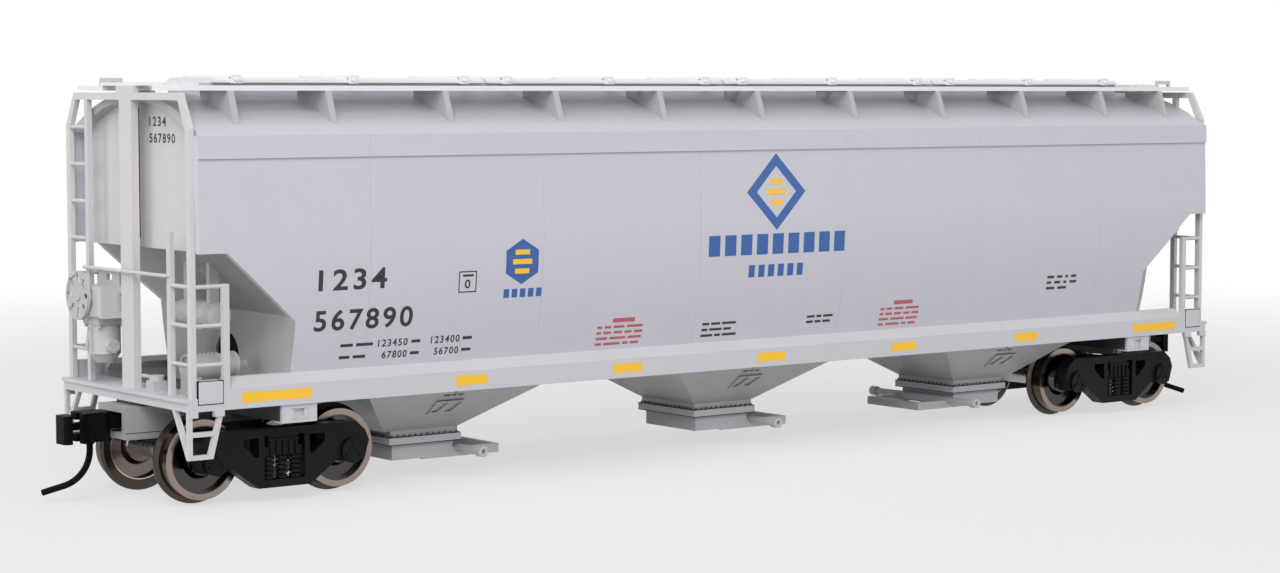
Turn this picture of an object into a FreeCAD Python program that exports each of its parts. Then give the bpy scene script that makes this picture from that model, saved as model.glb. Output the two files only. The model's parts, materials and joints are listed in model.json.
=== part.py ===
import FreeCAD, Part
import math
import os

# HO scale model of a three-bay covered hopper car, in millimetres.
# X runs along the car with the hand brake (B) end at -X, Y runs across it and Z is up.
# Heights named here are above the rail top. save() lifts every piece by the flange depth,
# so the finished model stands on its wheel flanges at z = 0, centred on X = Y = 0.

# Track and wheelsets
FLANGE_DEPTH = 0.65
FLANGE_WIDTH = 0.76
TREAD_DIAMETER = 10.5
WHEEL_WIDTH = 2.8
BACK_TO_BACK = 14.4
PLATE_THICKNESS = 1.1
HUB_DIAMETER = 4.0
RIM_THICKNESS = 0.95
AXLE_DIAMETER = 2.4
AXLE_LENGTH = 25.4
POINT_LENGTH = 1.6
TRUCK_WHEELBASE = 20.4
TRUCK_INSET = 14.85
BEARING_CLEARANCE = 0.08

# Truck frames
FRAME_THICKNESS = 2.4
FRAME_SIDE_GAP = 1.0
FRAME_TOP = 9.1
FRAME_BOTTOM = 1.3
FRAME_SHOULDER = 10.8
FRAME_END_OVERHANG = 2.7
FRAME_END_TOP = 7.9
FRAME_PLANK_HALF = 3.9
PEDESTAL_BOTTOM = 3.9
PEDESTAL_HALF = 1.9
BEARING_CAP_DIAMETER = 3.4
BEARING_CAP_DEPTH = 0.5
CHORD_WIDTH = 1.2
WINDOW_END_MARGIN = 2.2
WINDOW_LOW_MARGIN = 3.1
SPRING_POCKET_HALF = 3.0
SPRING_POCKET_BOTTOM = 2.3
SPRING_DIAMETER = 1.65
SPRING_INSET = 0.1
SPRING_WIRE = 0.42
SPRING_TURNS = 5
SPRING_COUNT = 3
BOLSTER_HALF = 2.2
BOLSTER_DEPTH = 3.1
CENTRE_PLATE_DIAMETER = 8.0
CENTRE_PLATE_HEIGHT = 0.5
CENTRE_PLATE_TOP = 9.0
CENTRE_PLATE_GAP = 0.06
SCREW_DIAMETER = 2.2
SCREW_CLEARANCE = 0.1
SCREW_HEAD_DIAMETER = 4.2
SCREW_HEAD_HEIGHT = 1.2
SCREW_HEAD_GAP = 0.15
SCREW_SLOT_WIDTH = 0.5
SCREW_SLOT_DEPTH = 0.5
SCREW_BITE = 3.6

# Side panels, end sheets and slope sheets
BODY_LENGTH = 189.0
PANEL_THICKNESS = 1.0
PANEL_HALF_WIDTH = 18.5
PANEL_TANGENT_HEIGHT = 34.0
PANEL_CURVE_RADIUS = 64.0
PANEL_TOP = 47.2
PANEL_TOP_TAPER = 0.4
BAND_HEIGHT = 2.9
BAND_RELIEF = 0.3
PANEL_CORNER_HEIGHT = 32.4
PANEL_CORNER_INSET = 3.9
PANEL_LEG_HEIGHT = 23.2
PANEL_LEG_INSET = 14.2
SHEET_THICKNESS = 1.0
END_SHEET_INSET = 2.0
BULKHEAD_THICKNESS = 0.8
BULKHEAD_HOLE_DIAMETER = 6.2
BULKHEAD_HOLE_OFFSET = 1.0
BULKHEAD_HOLE_RISE = 4.4

# Roof, hatches and running boards
ROOF_CROWN = 52.6
ROOF_THICKNESS = 1.0
ROOF_END_INSET = 0.35
COAMING_HALF_WIDTH = 5.6
COAMING_RISE = 1.3
HATCH_END_GAP = 8.5
HATCH_COUNT = 4
HATCH_GAP = 0.6
HATCH_HALF_WIDTH = 6.3
HATCH_THICKNESS = 0.7
HATCH_BEVEL = 0.35
BATTEN_WIDTH = 1.4
BATTEN_HEIGHT = 0.3
BATTEN_OVERHANG = 0.45
BATTEN_INSET = 3.3
LATCH_HEIGHT = 0.8
BRACE_PITCH = 18.28
BRACE_COUNT_EACH_WAY = 4
END_BRACE_INSET = 6.96
BRACE_THICKNESS = 0.9
BRACE_TIP_HALF_WIDTH = 16.3
BOARD_RISE = 0.25
BOARD_INNER = 7.0
BOARD_OUTER = 14.2
BOARD_OVERHANG = 0.4
BOARD_THICKNESS = 0.65
BOARD_RAIL = 0.55
BOARD_SLOT_PITCH = 2.0
BOARD_SLOT_LENGTH = 1.2
PLATFORM_DEPTH = 6.5
PLATFORM_THICKNESS = 0.42
PLATFORM_LAP = 0.5
SADDLE_HALF_WIDTH = 2.5
ROOF_GRAB_HALF_LENGTH = 1.6
ROOF_GRAB_RISE = 1.05
ROOF_GRAB_GAP = 0.45
ROOF_GRAB_LEG = 0.4
ROOF_GRAB_INSET = 3.5
ROOF_GRAB_OFFSET = 11.4

# End frames, posts, ladders, steps and handrails
END_FRAME_DEPTH = 0.7
POST_WIDTH = 1.0
POST_INSET = 0.3
POST_KNEE_HEIGHT = 48.1
END_BEAM_HEIGHT = 0.95
END_BEAM_HALF_SPREAD = 14.9
CENTRE_POST_HALF_WIDTH = 1.7
CENTRE_POST_WEB = 0.7
STILE_OFFSET = 10.9
STILE_WIDTH = 0.9
RUNG_DIAMETER = 0.55
RUNG_PITCH = 4.95
RUNG_LOWEST = 18.3
TALL_LADDER_RUNGS = 7
LOW_LADDER_RUNGS = 3
LOW_LADDER_TOP = 35.0
SIDE_LADDER_TOP = 28.5
SIDE_LADDER_STILE_WIDTH = 0.9
SIDE_LADDER_DEPTH = 0.7
HANDRAIL_DIAMETER = 0.5
HANDRAIL_HEIGHT = 29.4
HANDRAIL_STANDOFF = 0.5
STEP_FOOT = 6.4
STEP_TREAD = 9.3
STEP_BAR = 0.6
STEP_LENGTH = 3.5
STEP_BRACE_RUN = 4.3
STEP_PAD_LENGTH = 1.35
STEP_PAD_HEIGHT = 0.75
STEP_PAD_PROUD = 0.15

# Sills and underframe
SILL_BOTTOM = 12.5
SILL_HEIGHT = 2.7
SILL_LEDGE_RISE = 1.3
SILL_LEDGE_WIDTH = 1.53
SILL_WEB_THICKNESS = 0.8
SILL_FLANGE_THICKNESS = 0.7
END_SILL_REACH = 0.7
END_SILL_DEPTH = 5.1
END_SILL_HEIGHT = 1.65
END_SILL_WALL = 0.8
DECK_LIP = 0.35
DECK_LIP_THICKNESS = 0.5
END_CAP_HEIGHT = 2.25
END_CAP_ROUND = 0.8
END_CAP_THICKNESS = 0.9
FLOOR_RECESS = 0.8
FLOOR_THICKNESS = 1.0
FLOOR_LEDGE = 3.6
STUB_SILL_HALF_WIDTH = 3.6
STUB_SILL_GAP = 1.1
BODY_BOLSTER_HALF = 2.6
BODY_BOLSTER_DEPTH = 3.0
PAD_HALF_LENGTH = 2.6
PAD_DROP = 2.4
PAD_THICKNESS = 2.2
PAD_INSET = 0.3
PAD_SOCKET_HALF = 0.7
PAD_SOCKET_DEPTH = 0.4
BALLAST_GAP = 2.0
BALLAST_THICKNESS = 3.0

# Hopper bays and outlet gates
BAY_WHEEL_GAP = 4.55
BAY_MOUTH_HALF_LENGTH = 16.4
BAY_MOUTH_HALF_WIDTH = 15.7
END_BAY_MOUTH_REACH = 15.06
END_BAY_FOOT_REACH = 6.6
BAY_FOOT = 6.2
BAY_FOOT_HALF_LENGTH = 5.5
BAY_FOOT_HALF_WIDTH = 6.4
BAY_WALL = 0.8
COLLAR_HEIGHT = 0.9
VIBRATOR_HALF_LENGTH = 2.25
VIBRATOR_HALF_HEIGHT = 1.0
VIBRATOR_RELIEF = 0.4
VIBRATOR_RIM = 0.3
VIBRATOR_SLOT = 1.1
VIBRATOR_LEAN = 0.8
VIBRATOR_SHIFT = 0.5
VIBRATOR_HEIGHT = 9.6
GATE_FLANGE_HALF_LENGTH = 5.9
GATE_FLANGE_HALF_WIDTH = 6.8
GATE_FLANGE_THICKNESS = 1.0
GATE_HALF_LENGTH = 5.0
GATE_HALF_WIDTH = 6.0
GATE_BOTTOM = 2.1
GATE_WALL = 0.9
RACK_REACH = 12.8
RACK_WIDTH = 0.8
RACK_BOTTOM = 1.9
RACK_HEIGHT = 1.25
GATE_SHAFT_DIAMETER = 1.1
GATE_SHAFT_OFFSET = 5.95
GATE_SHAFT_HEIGHT = 3.1
GATE_SHAFT_HALF_LENGTH = 12.3
CAPSTAN_DIAMETER = 1.5
CAPSTAN_LENGTH = 1.3
CAPSTAN_SOCKET = 0.6
SHAFT_CLEARANCE = 0.05

# Draft boxes and couplers
COUPLER_HEIGHT = 9.92
DRAFT_BOX_REACH = 1.7
DRAFT_BOX_LENGTH = 9.4
DRAFT_BOX_HALF_WIDTH = 4.0
DRAFT_BOX_WALL = 0.8
DRAFT_BOX_PLAY = 0.5
DRAFT_BOX_MOUTH_HALF = 2.7
COUPLER_PIVOT_SETBACK = 5.8
LID_THICKNESS = 0.85
BOX_POST_DIAMETER = 2.1
LID_SCREW_DIAMETER = 1.2
LID_SCREW_HEAD_DIAMETER = 2.6
LID_SCREW_HEAD_HEIGHT = 0.5
LID_SCREW_LENGTH = 3.6
COUPLER_BORE_CLEARANCE = 0.1
SHANK_HALF_WIDTH = 1.3
SHANK_HEIGHT = 1.6
SHANK_RING_DIAMETER = 5.0
HEAD_GAP = 0.9
HEAD_LENGTH = 4.2
HEAD_DROP = 0.4
HEAD_HALF_HEIGHT = 1.9
HEAD_HALF_WIDTH = 2.1
HEAD_SHOULDER = 1.0
HEAD_CHAMFER = 0.5
GUARD_ARM_LENGTH = 0.4
GUARD_ARM_SPREAD = 0.5
GUARD_ARM_WIDTH = 0.8
KNUCKLE_PIVOT_SETBACK = 2.2
KNUCKLE_PIVOT_OFFSET = 1.0
KNUCKLE_HUB_DIAMETER = 1.9
KNUCKLE_HUB_HALF_HEIGHT = 0.8
KNUCKLE_SLOT_GAP = 0.12
KNUCKLE_STUB_DIAMETER = 0.9
KNUCKLE_BORE_CLEARANCE = 0.06
KNUCKLE_HALF_HEIGHT = 1.85
KNUCKLE_DROP = 0.3
KNUCKLE_ARM_HALF_HEIGHT = 0.45
KNUCKLE_ARM_WIDTH = 1.5
KNUCKLE_ROOT = 2.6
KNUCKLE_FACE = 4.25
KNUCKLE_NOSE_REACH = 2.0
KNUCKLE_BACK_WIDTH = 1.05
KNUCKLE_NOSE_DEPTH = 1.1
KNUCKLE_CHAMFER = 0.4
TRIP_DISC_DIAMETER = 1.5
TRIP_DISC_THICKNESS = 0.4
TRIP_DISC_GAP = 0.12
TRIP_PIN_DIAMETER = 0.85
TRIP_PIN_OFFSET = 0.3
TRIP_PIN_BEND = 5.1
TRIP_PIN_TURN = 72.0
TRIP_PIN_TAIL = 3.0
TRIP_PIN_HEADING = 138.0
TRIP_PIN_END_HEIGHT = 0.62

# Hand brake and air brake gear on the B end
BRAKE_WHEEL_DIAMETER = 6.5
BRAKE_WHEEL_THICKNESS = 0.45
BRAKE_WHEEL_DISH = 0.2
BRAKE_WHEEL_RIM = 0.5
BRAKE_WHEEL_HOLES = 8
BRAKE_WHEEL_HOLE_RADIUS = 0.36
BRAKE_WHEEL_HOLE_CIRCLE = 2.35
BRAKE_WHEEL_HUB = 1.5
BRAKE_WHEEL_HUB_DEPTH = 0.7
BRAKE_WHEEL_STANDOFF = 3.7
BRAKE_WHEEL_Y = 7.15
BRAKE_WHEEL_Z = 25.96
GEARBOX_START = 0.5
GEARBOX_WIDTH = 5.8
GEARBOX_TOP = 27.3
GEARBOX_HEIGHT = 4.2
GEARBOX_ROUND = 0.5
BRACKET_THICKNESS = 0.5
BRACKET_WINDOW = 1.6
ARM_HEIGHT = 0.9
VALVE_OVERHANG = 0.3
VALVE_Y = 5.9
VALVE_FLANGE_HALF = 2.3
VALVE_FLANGE_THICKNESS = 0.9
VALVE_BODY_DIAMETER = 4.1
VALVE_BODY_DEPTH = 3.9
VALVE_TIP_DIAMETER = 2.4
VALVE_TIP_DEPTH = 1.2
VALVE_RIB_WIDTH = 0.6
VALVE_RIB_PROUD = 0.3
VALVE_BOSS_DIAMETER = 1.8
VALVE_BOSS_REACH = 2.5
RESERVOIR_SETBACK = 7.2
RESERVOIR_Z = 23.9
RESERVOIR_DIAMETER = 3.5
RESERVOIR_START = 1.2
RESERVOIR_LENGTH = 11.0
STRAP_WIDTH = 0.7
STRAP_INSET = 2.4
CYLINDER_Y = 8.6
CYLINDER_RISE = 3.05
CYLINDER_DIAMETER = 3.2
CYLINDER_SETBACK = 4.6
CYLINDER_LENGTH = 6.4
CYLINDER_ROD_LENGTH = 0.4
CYLINDER_FOOT_HALF = 1.0
LEVER_SETBACK = 1.2
LEVER_Y = 5.6
LEVER_HALF = 1.0
LEVER_RISE = 1.3
LEVER_CAP = 0.7
LEVER_ROD_DIAMETER = 0.5

# Places that follow from the sizes above
AXLE_HEIGHT = TREAD_DIAMETER / 2
WHEEL_FACE = BACK_TO_BACK / 2 + WHEEL_WIDTH
FRAME_INNER = WHEEL_FACE + FRAME_SIDE_GAP
FRAME_OUTER = FRAME_INNER + FRAME_THICKNESS
BOLSTER_TOP = CENTRE_PLATE_TOP - CENTRE_PLATE_HEIGHT
BOLSTER_BOTTOM = BOLSTER_TOP - BOLSTER_DEPTH
TRUCK_CENTRES = BODY_LENGTH - 2 * TRUCK_INSET
TRUCK_X = TRUCK_CENTRES / 2
AXLE_X = TRUCK_WHEELBASE / 2
BODY_END = BODY_LENGTH / 2
SILL_WEB_TOP = SILL_BOTTOM + SILL_HEIGHT
PANEL_FOOT = SILL_WEB_TOP + SILL_LEDGE_RISE
FLOOR_BOTTOM = SILL_BOTTOM + FLOOR_RECESS
FLOOR_TOP = FLOOR_BOTTOM + FLOOR_THICKNESS
CURVE_CENTRE_Y = PANEL_HALF_WIDTH - PANEL_CURVE_RADIUS
PANEL_TOP_HALF_WIDTH = PANEL_HALF_WIDTH - PANEL_TOP_TAPER
PANEL_DROP = PANEL_TANGENT_HEIGHT - PANEL_FOOT
PANEL_FOOT_Y = CURVE_CENTRE_Y + math.sqrt(PANEL_CURVE_RADIUS ** 2 - PANEL_DROP ** 2)
SILL_HALF_WIDTH = PANEL_FOOT_Y + SILL_LEDGE_WIDTH
SILL_WEB_INNER = SILL_HALF_WIDTH - SILL_WEB_THICKNESS
POST_OUTER = SILL_HALF_WIDTH - POST_INSET
PANEL_LEG_X = BODY_END - PANEL_LEG_INSET
SLOPE_TOP_X = BODY_END - PANEL_CORNER_INSET
END_SHEET_FACE = BODY_END - END_SHEET_INSET
END_FRAME_FACE = BODY_END + END_FRAME_DEPTH
ROOF_RISE = ROOF_CROWN - PANEL_TOP
ROOF_RADIUS = (PANEL_TOP_HALF_WIDTH ** 2 + ROOF_RISE ** 2) / (2 * ROOF_RISE)
ROOF_CENTRE_Z = ROOF_CROWN - ROOF_RADIUS
BOARD_BOTTOM = ROOF_CROWN + BOARD_RISE
BOARD_TOP = BOARD_BOTTOM + BOARD_THICKNESS
BOARD_LENGTH = BODY_LENGTH + 2 * BOARD_OVERHANG
BOARD_END = BOARD_LENGTH / 2
HATCH_RUN = BODY_LENGTH - 2 * HATCH_END_GAP
HATCH_LENGTH = HATCH_RUN / HATCH_COUNT - HATCH_GAP
COAMING_TOP = ROOF_CROWN + COAMING_RISE
HATCH_TOP = COAMING_TOP + HATCH_THICKNESS
END_SILL_FRONT = END_FRAME_FACE + END_SILL_REACH
END_SILL_BACK = END_SILL_FRONT - END_SILL_DEPTH
DECK_TOP = SILL_BOTTOM + END_SILL_HEIGHT
SILL_END = END_SILL_BACK - SIDE_LADDER_STILE_WIDTH
STUB_SILL_BOTTOM = CENTRE_PLATE_TOP + CENTRE_PLATE_GAP
INNER_WHEEL_REACH = TRUCK_X - AXLE_X - TREAD_DIAMETER / 2 - FLANGE_DEPTH
BAY_SPACING = INNER_WHEEL_REACH - BAY_WHEEL_GAP - BAY_FOOT_HALF_LENGTH
END_BAY_EDGE = BAY_SPACING + END_BAY_MOUTH_REACH
FLOOR_END = END_BAY_EDGE + FLOOR_LEDGE
STUB_SILL_INNER_END = END_BAY_EDGE + STUB_SILL_GAP
SLOPE_PITCH = (PANEL_LEG_HEIGHT - FLOOR_BOTTOM) / (PANEL_LEG_X - END_BAY_EDGE)
SLOPE_FOOT_X = END_BAY_EDGE + FLOOR_THICKNESS / SLOPE_PITCH
COLLAR_BOTTOM = BAY_FOOT - COLLAR_HEIGHT
GATE_TOP = COLLAR_BOTTOM - GATE_FLANGE_THICKNESS
DRAFT_BOX_FRONT = END_SILL_FRONT + DRAFT_BOX_REACH
DRAFT_BOX_BACK = DRAFT_BOX_FRONT - DRAFT_BOX_LENGTH
DRAFT_POCKET_TOP = COUPLER_HEIGHT + SHANK_HEIGHT / 2 + DRAFT_BOX_PLAY
DRAFT_BOX_TOP = DRAFT_POCKET_TOP + DRAFT_BOX_WALL
LID_TOP = COUPLER_HEIGHT - SHANK_HEIGHT / 2 - DRAFT_BOX_PLAY
LID_BOTTOM = LID_TOP - LID_THICKNESS
COUPLER_PIVOT = DRAFT_BOX_FRONT - COUPLER_PIVOT_SETBACK
HEAD_BACK = DRAFT_BOX_FRONT + HEAD_GAP
THROAT = HEAD_BACK + HEAD_LENGTH
GUARD_ARM_END = THROAT + GUARD_ARM_LENGTH
KNUCKLE_PIVOT = THROAT - KNUCKLE_PIVOT_SETBACK
HEAD_MIDDLE = COUPLER_HEIGHT - HEAD_DROP
HEAD_BOTTOM = HEAD_MIDDLE - HEAD_HALF_HEIGHT
HEAD_TOP = HEAD_MIDDLE + HEAD_HALF_HEIGHT
CARRIER_TOP = HEAD_BOTTOM - TRIP_DISC_GAP
CARRIER_BOTTOM = CARRIER_TOP - TRIP_DISC_THICKNESS
GEARBOX_BOTTOM = GEARBOX_TOP - GEARBOX_HEIGHT
BRAKE_WHEEL_X = END_FRAME_FACE + BRAKE_WHEEL_STANDOFF
TOLERANCE = 0.01
FAR = 200.0

ORIGIN = FreeCAD.Vector(0, 0, 0)
UP = FreeCAD.Vector(0, 0, 1)
ACROSS = FreeCAD.Vector(0, 1, 0)
ALONG = FreeCAD.Vector(1, 0, 0)


def vector(x, y, z):
    return FreeCAD.Vector(x, y, z)


def block(x0, x1, y0, y1, z0, z1):
    """Rectangular block between two opposite corners."""
    return Part.makeBox(x1 - x0, y1 - y0, z1 - z0, vector(x0, y0, z0))


def bar(start, end, diameter):
    """Round bar between two points."""
    run = end - start
    return Part.makeCylinder(diameter / 2, run.Length, start, run)


def disc(centre, axis, diameter, thickness):
    """Round disc that starts at centre and grows along axis."""
    return Part.makeCylinder(diameter / 2, thickness, centre, axis)


def ball(centre, diameter):
    return Part.makeSphere(diameter / 2, centre)


def prism(points, travel):
    """Closed flat outline pushed along travel."""
    return Part.Face(Part.makePolygon(points + points[:1])).extrude(travel)


def prism_along_x(outline, x0, x1):
    """Prism from (y, z) points between two x places."""
    return prism([vector(x0, y, z) for y, z in outline], vector(x1 - x0, 0, 0))


def prism_along_y(outline, y0, y1):
    """Prism from (x, z) points between two y places."""
    return prism([vector(x, y0, z) for x, z in outline], vector(0, y1 - y0, 0))


def prism_along_z(outline, z0, z1):
    """Prism from (x, y) points between two heights."""
    return prism([vector(x, y, z0) for x, y in outline], vector(0, 0, z1 - z0))


def joined(shapes):
    """One solid from shapes that touch or overlap."""
    return shapes[0].multiFuse(shapes[1:]).removeSplitter()


def cut(shape, tools):
    return shape.cut(Part.makeCompound(tools))


def bent_rail(points, diameter):
    """Round rail through points, with a ball at each bend."""
    bars = [bar(a, b, diameter) for a, b in zip(points, points[1:])]
    bends = [ball(p, diameter) for p in points[1:-1]]
    return joined(bars + bends)


def turned(shape):
    """The same piece at the other end of the car, turned half round about Z."""
    return shape.rotated(ORIGIN, UP, 180)


def across(shape):
    """The same piece on the other side of the car, mirrored in Y."""
    return shape.mirror(ORIGIN, ACROSS)


def both_ends(shape):
    return [shape, turned(shape)]


def four_corners(shape):
    """A piece at the B end on the +Y side, repeated at all four corners."""
    pair = [shape, across(shape)]
    return pair + [turned(p) for p in pair]


def save(name, pieces):
    """Write one node, lifted so that the flanges stand on z = 0."""
    shape = pieces[0] if len(pieces) == 1 else Part.makeCompound(pieces)
    shape = shape.translated(vector(0, 0, FLANGE_DEPTH))
    shape.exportStep("parts/" + name + ".step")


# Body sections, in the plane across the car


def curve_y(z, thickness):
    """Half width of the curved side at height z, measured in from its outer face."""
    if z < PANEL_TANGENT_HEIGHT:
        radius = PANEL_CURVE_RADIUS - thickness
        return CURVE_CENTRE_Y + math.sqrt(radius ** 2 - (PANEL_TANGENT_HEIGHT - z) ** 2)
    taper = (PANEL_HALF_WIDTH - PANEL_TOP_HALF_WIDTH) / (PANEL_TOP - PANEL_TANGENT_HEIGHT)
    return PANEL_HALF_WIDTH - thickness - taper * (z - PANEL_TANGENT_HEIGHT)


def curve_edges(thickness, side):
    """Edges of one side curve from the panel foot up to its top."""
    middle = (PANEL_FOOT + PANEL_TANGENT_HEIGHT) / 2
    heights = (PANEL_FOOT, middle, PANEL_TANGENT_HEIGHT)
    arc_points = [vector(0, side * curve_y(z, thickness), z) for z in heights]
    top = vector(0, side * curve_y(PANEL_TOP, thickness), PANEL_TOP)
    return [Part.Arc(*arc_points).toShape(), Part.LineSegment(arc_points[2], top).toShape()]


def hold_section(thickness):
    """Face of the whole body section inside a skin of the given thickness, below the roof."""
    near = curve_edges(thickness, -1)
    far = curve_edges(thickness, 1)
    foot = vector(0, curve_y(PANEL_FOOT, thickness), PANEL_FOOT)
    top = vector(0, curve_y(PANEL_TOP, thickness), PANEL_TOP)
    low = Part.LineSegment(vector(0, -foot.y, foot.z), foot).toShape()
    high = Part.LineSegment(vector(0, -top.y, top.z), top).toShape()
    return Part.Face(Part.Wire(Part.__sortEdges__(near + far + [low, high])))


def hold_prism(thickness, x0, x1):
    """The body section pushed along the car between two x places."""
    return hold_section(thickness).translated(vector(x0, 0, 0)).extrude(vector(x1 - x0, 0, 0))


def roof_cylinder(radius, half_length):
    """Round bar whose upper part is the roof's curve."""
    centre = vector(-half_length, 0, ROOF_CENTRE_Z)
    return Part.makeCylinder(radius, 2 * half_length, centre, ALONG)


def side_elevation(inset):
    """Outline of a side panel seen from the side, as (x, z) points."""
    half = [
        (BODY_END - inset, PANEL_TOP),
        (BODY_END - inset, PANEL_CORNER_HEIGHT),
        (SLOPE_TOP_X, PANEL_CORNER_HEIGHT),
        (PANEL_LEG_X, PANEL_LEG_HEIGHT),
        (PANEL_LEG_X, PANEL_FOOT),
    ]
    return half + [(-x, z) for x, z in reversed(half)]


def slope_outline():
    """Section along the car of one slope sheet at the +X end, as (x, z) points."""
    stretch = math.hypot(1, SLOPE_PITCH)
    lift = SHEET_THICKNESS * stretch
    shift = lift / SLOPE_PITCH
    under = [
        (END_SHEET_FACE, PANEL_CORNER_HEIGHT),
        (SLOPE_TOP_X, PANEL_CORNER_HEIGHT),
        (PANEL_LEG_X, PANEL_LEG_HEIGHT),
        (SLOPE_FOOT_X, FLOOR_TOP),
    ]
    over = [
        (SLOPE_FOOT_X - shift, FLOOR_TOP),
        (PANEL_LEG_X, PANEL_LEG_HEIGHT + lift),
        (SLOPE_TOP_X, PANEL_CORNER_HEIGHT + SHEET_THICKNESS),
        (END_SHEET_FACE, PANEL_CORNER_HEIGHT + SHEET_THICKNESS),
    ]
    return under + over


# Body pieces


def side_panel():
    """Curved side panel on the +Y side, with its raised band along the top."""
    skin = hold_prism(0, -BODY_END, BODY_END).cut(hold_prism(PANEL_THICKNESS, -FAR, FAR))
    skin = skin.common(block(-FAR, FAR, 0, FAR, 0, FAR))
    skin = skin.common(prism_along_y(side_elevation(0), 0, FAR))
    band_foot = PANEL_TOP - BAND_HEIGHT
    inner = PANEL_TOP_HALF_WIDTH - PANEL_THICKNESS / 2
    band = [
        (inner, band_foot),
        (curve_y(band_foot, 0) + BAND_RELIEF, band_foot),
        (PANEL_TOP_HALF_WIDTH + BAND_RELIEF, PANEL_TOP),
        (inner, PANEL_TOP),
    ]
    return joined([skin, prism_along_x(band, -BODY_END, BODY_END)])


def end_sheet():
    """Flat sheet at the B end between the side panels, up to the roof's underside."""
    x0 = -END_SHEET_FACE
    x1 = x0 + SHEET_THICKNESS
    base = PANEL_CORNER_HEIGHT + SHEET_THICKNESS
    sheet = hold_prism(PANEL_THICKNESS, x0, x1).common(block(-FAR, 0, -FAR, FAR, base, FAR))
    gable = roof_cylinder(ROOF_RADIUS - ROOF_THICKNESS, FAR)
    gable = gable.common(block(x0, x1, -FAR, FAR, PANEL_TOP, FAR))
    return joined([sheet, gable])


def slope_sheet():
    """Sloping floor sheet at the +X end, from the end sheet down to the bay."""
    sheet = prism_along_y(slope_outline(), -FAR, FAR)
    foot = curve_y(PANEL_FOOT, PANEL_THICKNESS)
    bottom = block(0, FAR, -foot, foot, 0, PANEL_FOOT)
    return sheet.common(joined([hold_prism(PANEL_THICKNESS, 0, FAR), bottom]))


def bulkhead():
    """Plate across the car over the B end bolster, with a round hole for the brake gear."""
    x0 = -PANEL_LEG_X - BULKHEAD_THICKNESS
    x1 = -PANEL_LEG_X
    foot = curve_y(PANEL_FOOT, PANEL_THICKNESS)
    upper = hold_prism(0, x0, x1)
    lower = block(x0, x1, -foot, foot, FLOOR_BOTTOM, PANEL_FOOT)
    plate = joined([upper, lower])
    above = prism_along_y([(-x, z) for x, z in slope_outline()], -FAR, FAR)
    sky = block(x0, x1, -FAR, FAR, PANEL_LEG_HEIGHT + SHEET_THICKNESS, FAR)
    centre = vector(x0, -BULKHEAD_HOLE_OFFSET, FLOOR_BOTTOM + BULKHEAD_HOLE_RISE)
    hole = disc(centre, ALONG, BULKHEAD_HOLE_DIAMETER, FAR)
    return cut(plate, [above, sky, hole])


def roof():
    """Curved roof with the long hatch coaming along its crown."""
    half = BODY_END - ROOF_END_INSET
    arch = roof_cylinder(ROOF_RADIUS, half).cut(roof_cylinder(ROOF_RADIUS - ROOF_THICKNESS, FAR))
    arch = arch.common(block(-FAR, FAR, -FAR, FAR, PANEL_TOP, FAR))
    width = COAMING_HALF_WIDTH
    run = HATCH_RUN / 2
    inside = roof_cylinder(ROOF_RADIUS - ROOF_THICKNESS / 2, FAR)
    coaming = block(-run, run, -width, width, PANEL_TOP, COAMING_TOP).cut(inside)
    return joined([arch, coaming])


def hatch_starts():
    """Left end of each hatch cover."""
    pitch = HATCH_RUN / HATCH_COUNT
    return [(HATCH_GAP - HATCH_RUN) / 2 + i * pitch for i in range(HATCH_COUNT)]


def hatch_cover(start):
    """Trough hatch cover with bevelled top edges."""
    width = HATCH_HALF_WIDTH
    outline = [
        (-width, COAMING_TOP),
        (width, COAMING_TOP),
        (width, HATCH_TOP - HATCH_BEVEL),
        (width - 2 * HATCH_BEVEL, HATCH_TOP),
        (2 * HATCH_BEVEL - width, HATCH_TOP),
        (-width, HATCH_TOP - HATCH_BEVEL),
    ]
    return prism_along_x(outline, start, start + HATCH_LENGTH)


def hatch_batten(x):
    """Hold-down batten over a hatch cover, with a latch at each end."""
    half = BATTEN_WIDTH / 2
    reach = HATCH_HALF_WIDTH + BATTEN_OVERHANG
    strap = block(x - half, x + half, -reach, reach, HATCH_TOP, HATCH_TOP + BATTEN_HEIGHT)
    latch_foot = HATCH_TOP - LATCH_HEIGHT
    latch = block(x - half, x + half, HATCH_HALF_WIDTH, reach, latch_foot, HATCH_TOP)
    return joined([strap, latch, across(latch)])


def hatch_battens():
    """Three battens for each cover: near both ends and in the middle."""
    battens = []
    for start in hatch_starts():
        for place in (BATTEN_INSET, HATCH_LENGTH / 2, HATCH_LENGTH - BATTEN_INSET):
            battens.append(hatch_batten(start + place))
    return battens


def brace_places():
    """X places of the running board braces."""
    reach = BRACE_COUNT_EACH_WAY
    inner = [i * BRACE_PITCH for i in range(-reach, reach + 1)]
    end = BODY_END - END_BRACE_INSET
    return [-end] + inner + [end]


def roof_brace(x):
    """Fin on the roof shoulder that carries the running board, on the +Y side."""
    outline = [
        (BOARD_INNER, PANEL_TOP),
        (BOARD_INNER, BOARD_BOTTOM),
        (BOARD_OUTER, BOARD_BOTTOM),
        (BRACE_TIP_HALF_WIDTH, PANEL_TOP),
    ]
    half = BRACE_THICKNESS / 2
    return prism_along_x(outline, x - half, x + half).cut(roof_cylinder(ROOF_RADIUS, FAR))


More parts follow.
